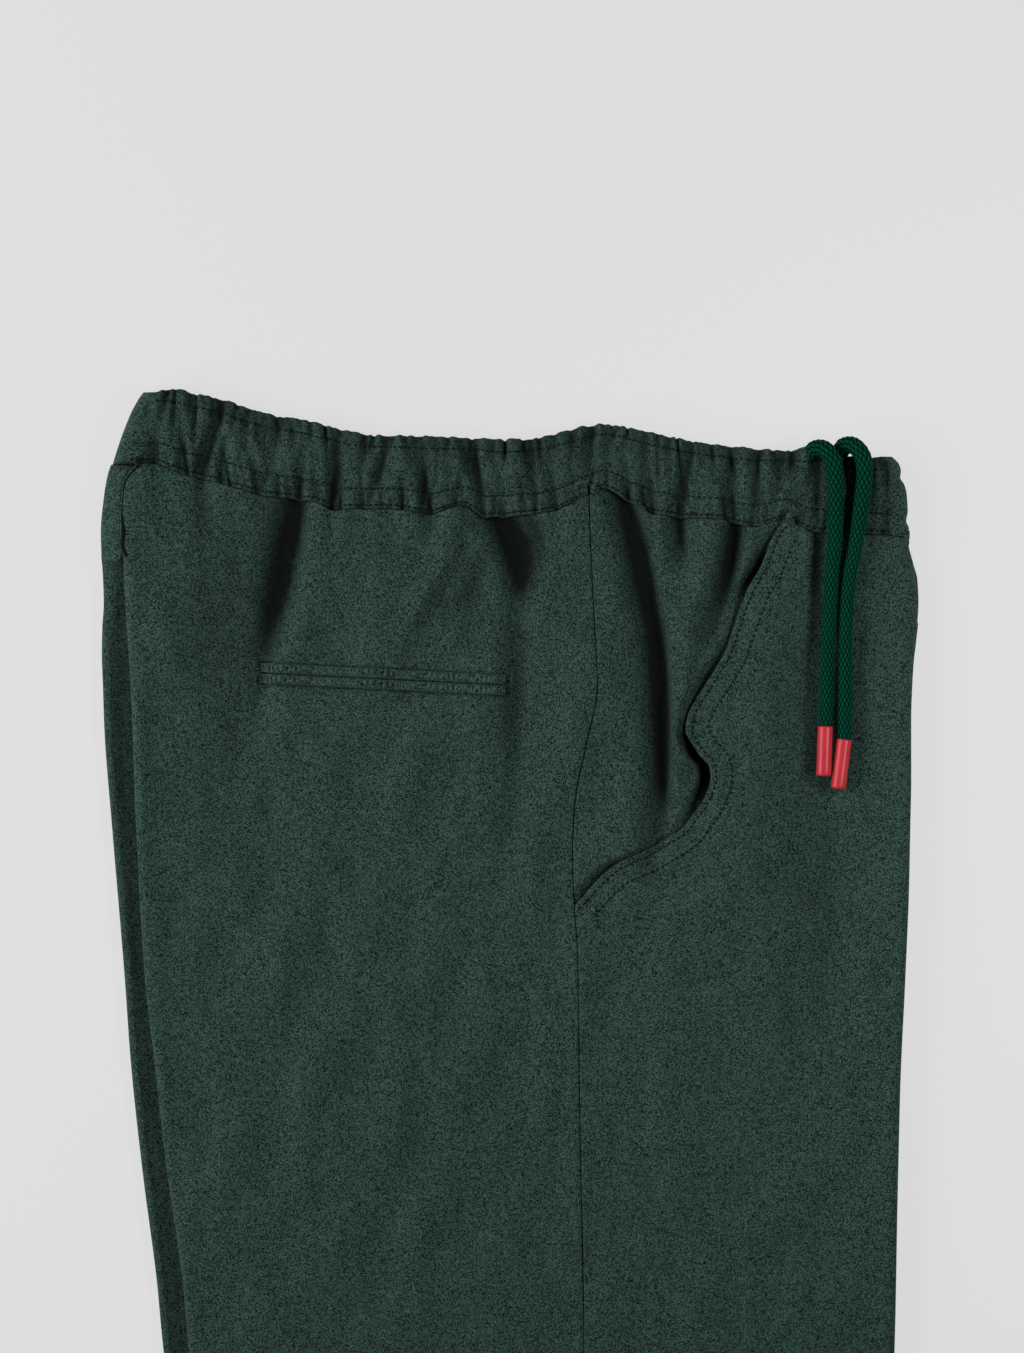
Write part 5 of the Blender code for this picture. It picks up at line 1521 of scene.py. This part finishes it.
def table_finish():
    """A plain pale table that shows almost no shadow."""
    finish = Finish("pale_table")
    matt = finish.node("ShaderNodeBsdfDiffuse", {}, {"Color": (0.10, 0.10, 0.10, 1.0)})
    return finish.done(finish.node("ShaderNodeAddShader", {}, {0: glow(finish, 0.640), 1: matt}))


def backdrop_finish():
    """A pale backdrop that only glows."""
    finish = Finish("pale_backdrop")
    return finish.done(glow(finish, 0.735))


LINEN = linen_finish()
THREAD = thread_finish()
CORD = cord_finish()
TIP = tip_finish()


# ---- table, light, camera
def camera():
    """Straight above the upper part of the garment, with a long lens."""
    data = bpy.data.cameras.new("camera")
    data.sensor_width = SENSOR
    data.lens = SENSOR * (CAMERA_HEIGHT - FOCUS_HEIGHT) / FRAME_HEIGHT
    data.clip_end = 100.0
    eye = bpy.data.objects.new("camera", data)
    eye.location = [value * MM for value in (*FRAME_CENTRE, CAMERA_HEIGHT)]
    bpy.context.scene.collection.objects.link(eye)
    bpy.context.scene.camera = eye


def lamp(name, place_at, target, size, power, spread):
    """A soft rectangular light at place_at that faces target; metres, watts and degrees."""
    data = bpy.data.lights.new(name, "AREA")
    data.shape = "RECTANGLE"
    data.size, data.size_y = size
    data.energy = power
    data.spread = math.radians(spread)
    light = bpy.data.objects.new(name, data)
    aim = unit(np.array(place_at) - np.array(target))
    sideways = unit(np.cross([0.0, 1.0, 0.0], aim))
    turn = np.eye(4)
    turn[:3] = np.stack([sideways, np.cross(aim, sideways), aim, place_at], axis=1)
    light.matrix_world = turn.T.tolist()
    bpy.context.scene.collection.objects.link(light)


def table():
    """The table and a pale backdrop far round it that only the camera sees."""
    reach = np.array([-TABLE_REACH, TABLE_REACH])
    grid = grid_of(reach, -reach[:, None], -0.2)
    top = sew("table_top", grid, grid[:, :, :2], table_finish())
    around = full_turn(48)
    rise = np.linspace(-0.05, math.pi / 2.0 - 0.01, 16)[:, None]
    dome = BACKDROP_REACH * grid_of(np.cos(rise) * np.cos(around), np.cos(rise) * np.sin(around),
                                    np.sin(rise))
    no_uv = np.zeros((len(rise), len(around) + 1, 2))
    shell = sew("pale_backdrop", dome, no_uv, backdrop_finish(), round_columns=True)
    for ray in ("diffuse", "glossy", "transmission", "volume_scatter", "shadow"):
        setattr(shell, f"visible_{ray}", False)


def world():
    """A little light from all sides, and colours shown as they are."""
    scene = bpy.context.scene
    scene.world = bpy.data.worlds.new("soft_room")
    scene.world.use_nodes = True
    sky = scene.world.node_tree.nodes["Background"]
    sky.inputs["Color"].default_value = (0.97, 1.0, 1.0, 1.0)
    sky.inputs["Strength"].default_value = 0.05
    scene.view_settings.view_transform = "Standard"


def main():
    """The camera and the cords first, then the cloth and its stitches, table and light."""
    camera()
    tip_inner = cord_tip("tip_inner_barrel", "tip_inner", CORD_INNER, TIP_INNER_LEAN)
    tip_outer = cord_tip("tip_outer_barrel", "tip_outer", CORD_OUTER, TIP_OUTER_LEAN)
    cord("cord_inner_braid", "cord_inner", CORD_INNER)
    cord("cord_outer_braid", "cord_outer", CORD_OUTER)
    back = right_back_panel()
    front = right_front_panel()
    facing = right_pocket_facing()
    under_back = lower_panel("left_back_panel", 0.0, UNDER_SEAM - UNDER_GAP, BACK_SIDE, 1.0)
    under_front = lower_panel("left_front_panel", UNDER_SEAM + UNDER_GAP, 1.0, FRONT_SIDE, -1.0)
    inner_layers()
    band = waistband()
    upper_hem = hem("right_hem", "upper")
    lower_hem = hem("left_hem", "lower")
    welts = [welt("back_pocket_upper_welt", 0.25), welt("back_pocket_lower_welt", 0.75)]
    band_rows = [band_stitches("waistband_upper_stitches", UPPER_ROW),
                 band_stitches("waistband_lower_stitches", LOWER_ROW),
                 band_stitches("waistband_edge_stitches", EDGE_ROW)]
    mouth_rows = [mouth_stitches("mouth_edge_stitches", MOUTH_EDGE_ROW, MOUTH_EDGE_SPAN),
                  mouth_stitches("mouth_inner_stitches", MOUTH_INNER_ROW, MOUTH_INNER_SPAN)]
    hem_row = hem_stitches("right_hem_stitches")
    table()
    lamp("window_left", (-1.30, 0.45, 0.80), (-0.05, 0.33, 0.0), (1.1, 1.8), 33.0, 180.0)
    lamp("window_right", (0.85, 0.45, 0.80), (0.24, 0.36, 0.0), (0.26, 0.8), 1.7, 75.0)
    world()


main()
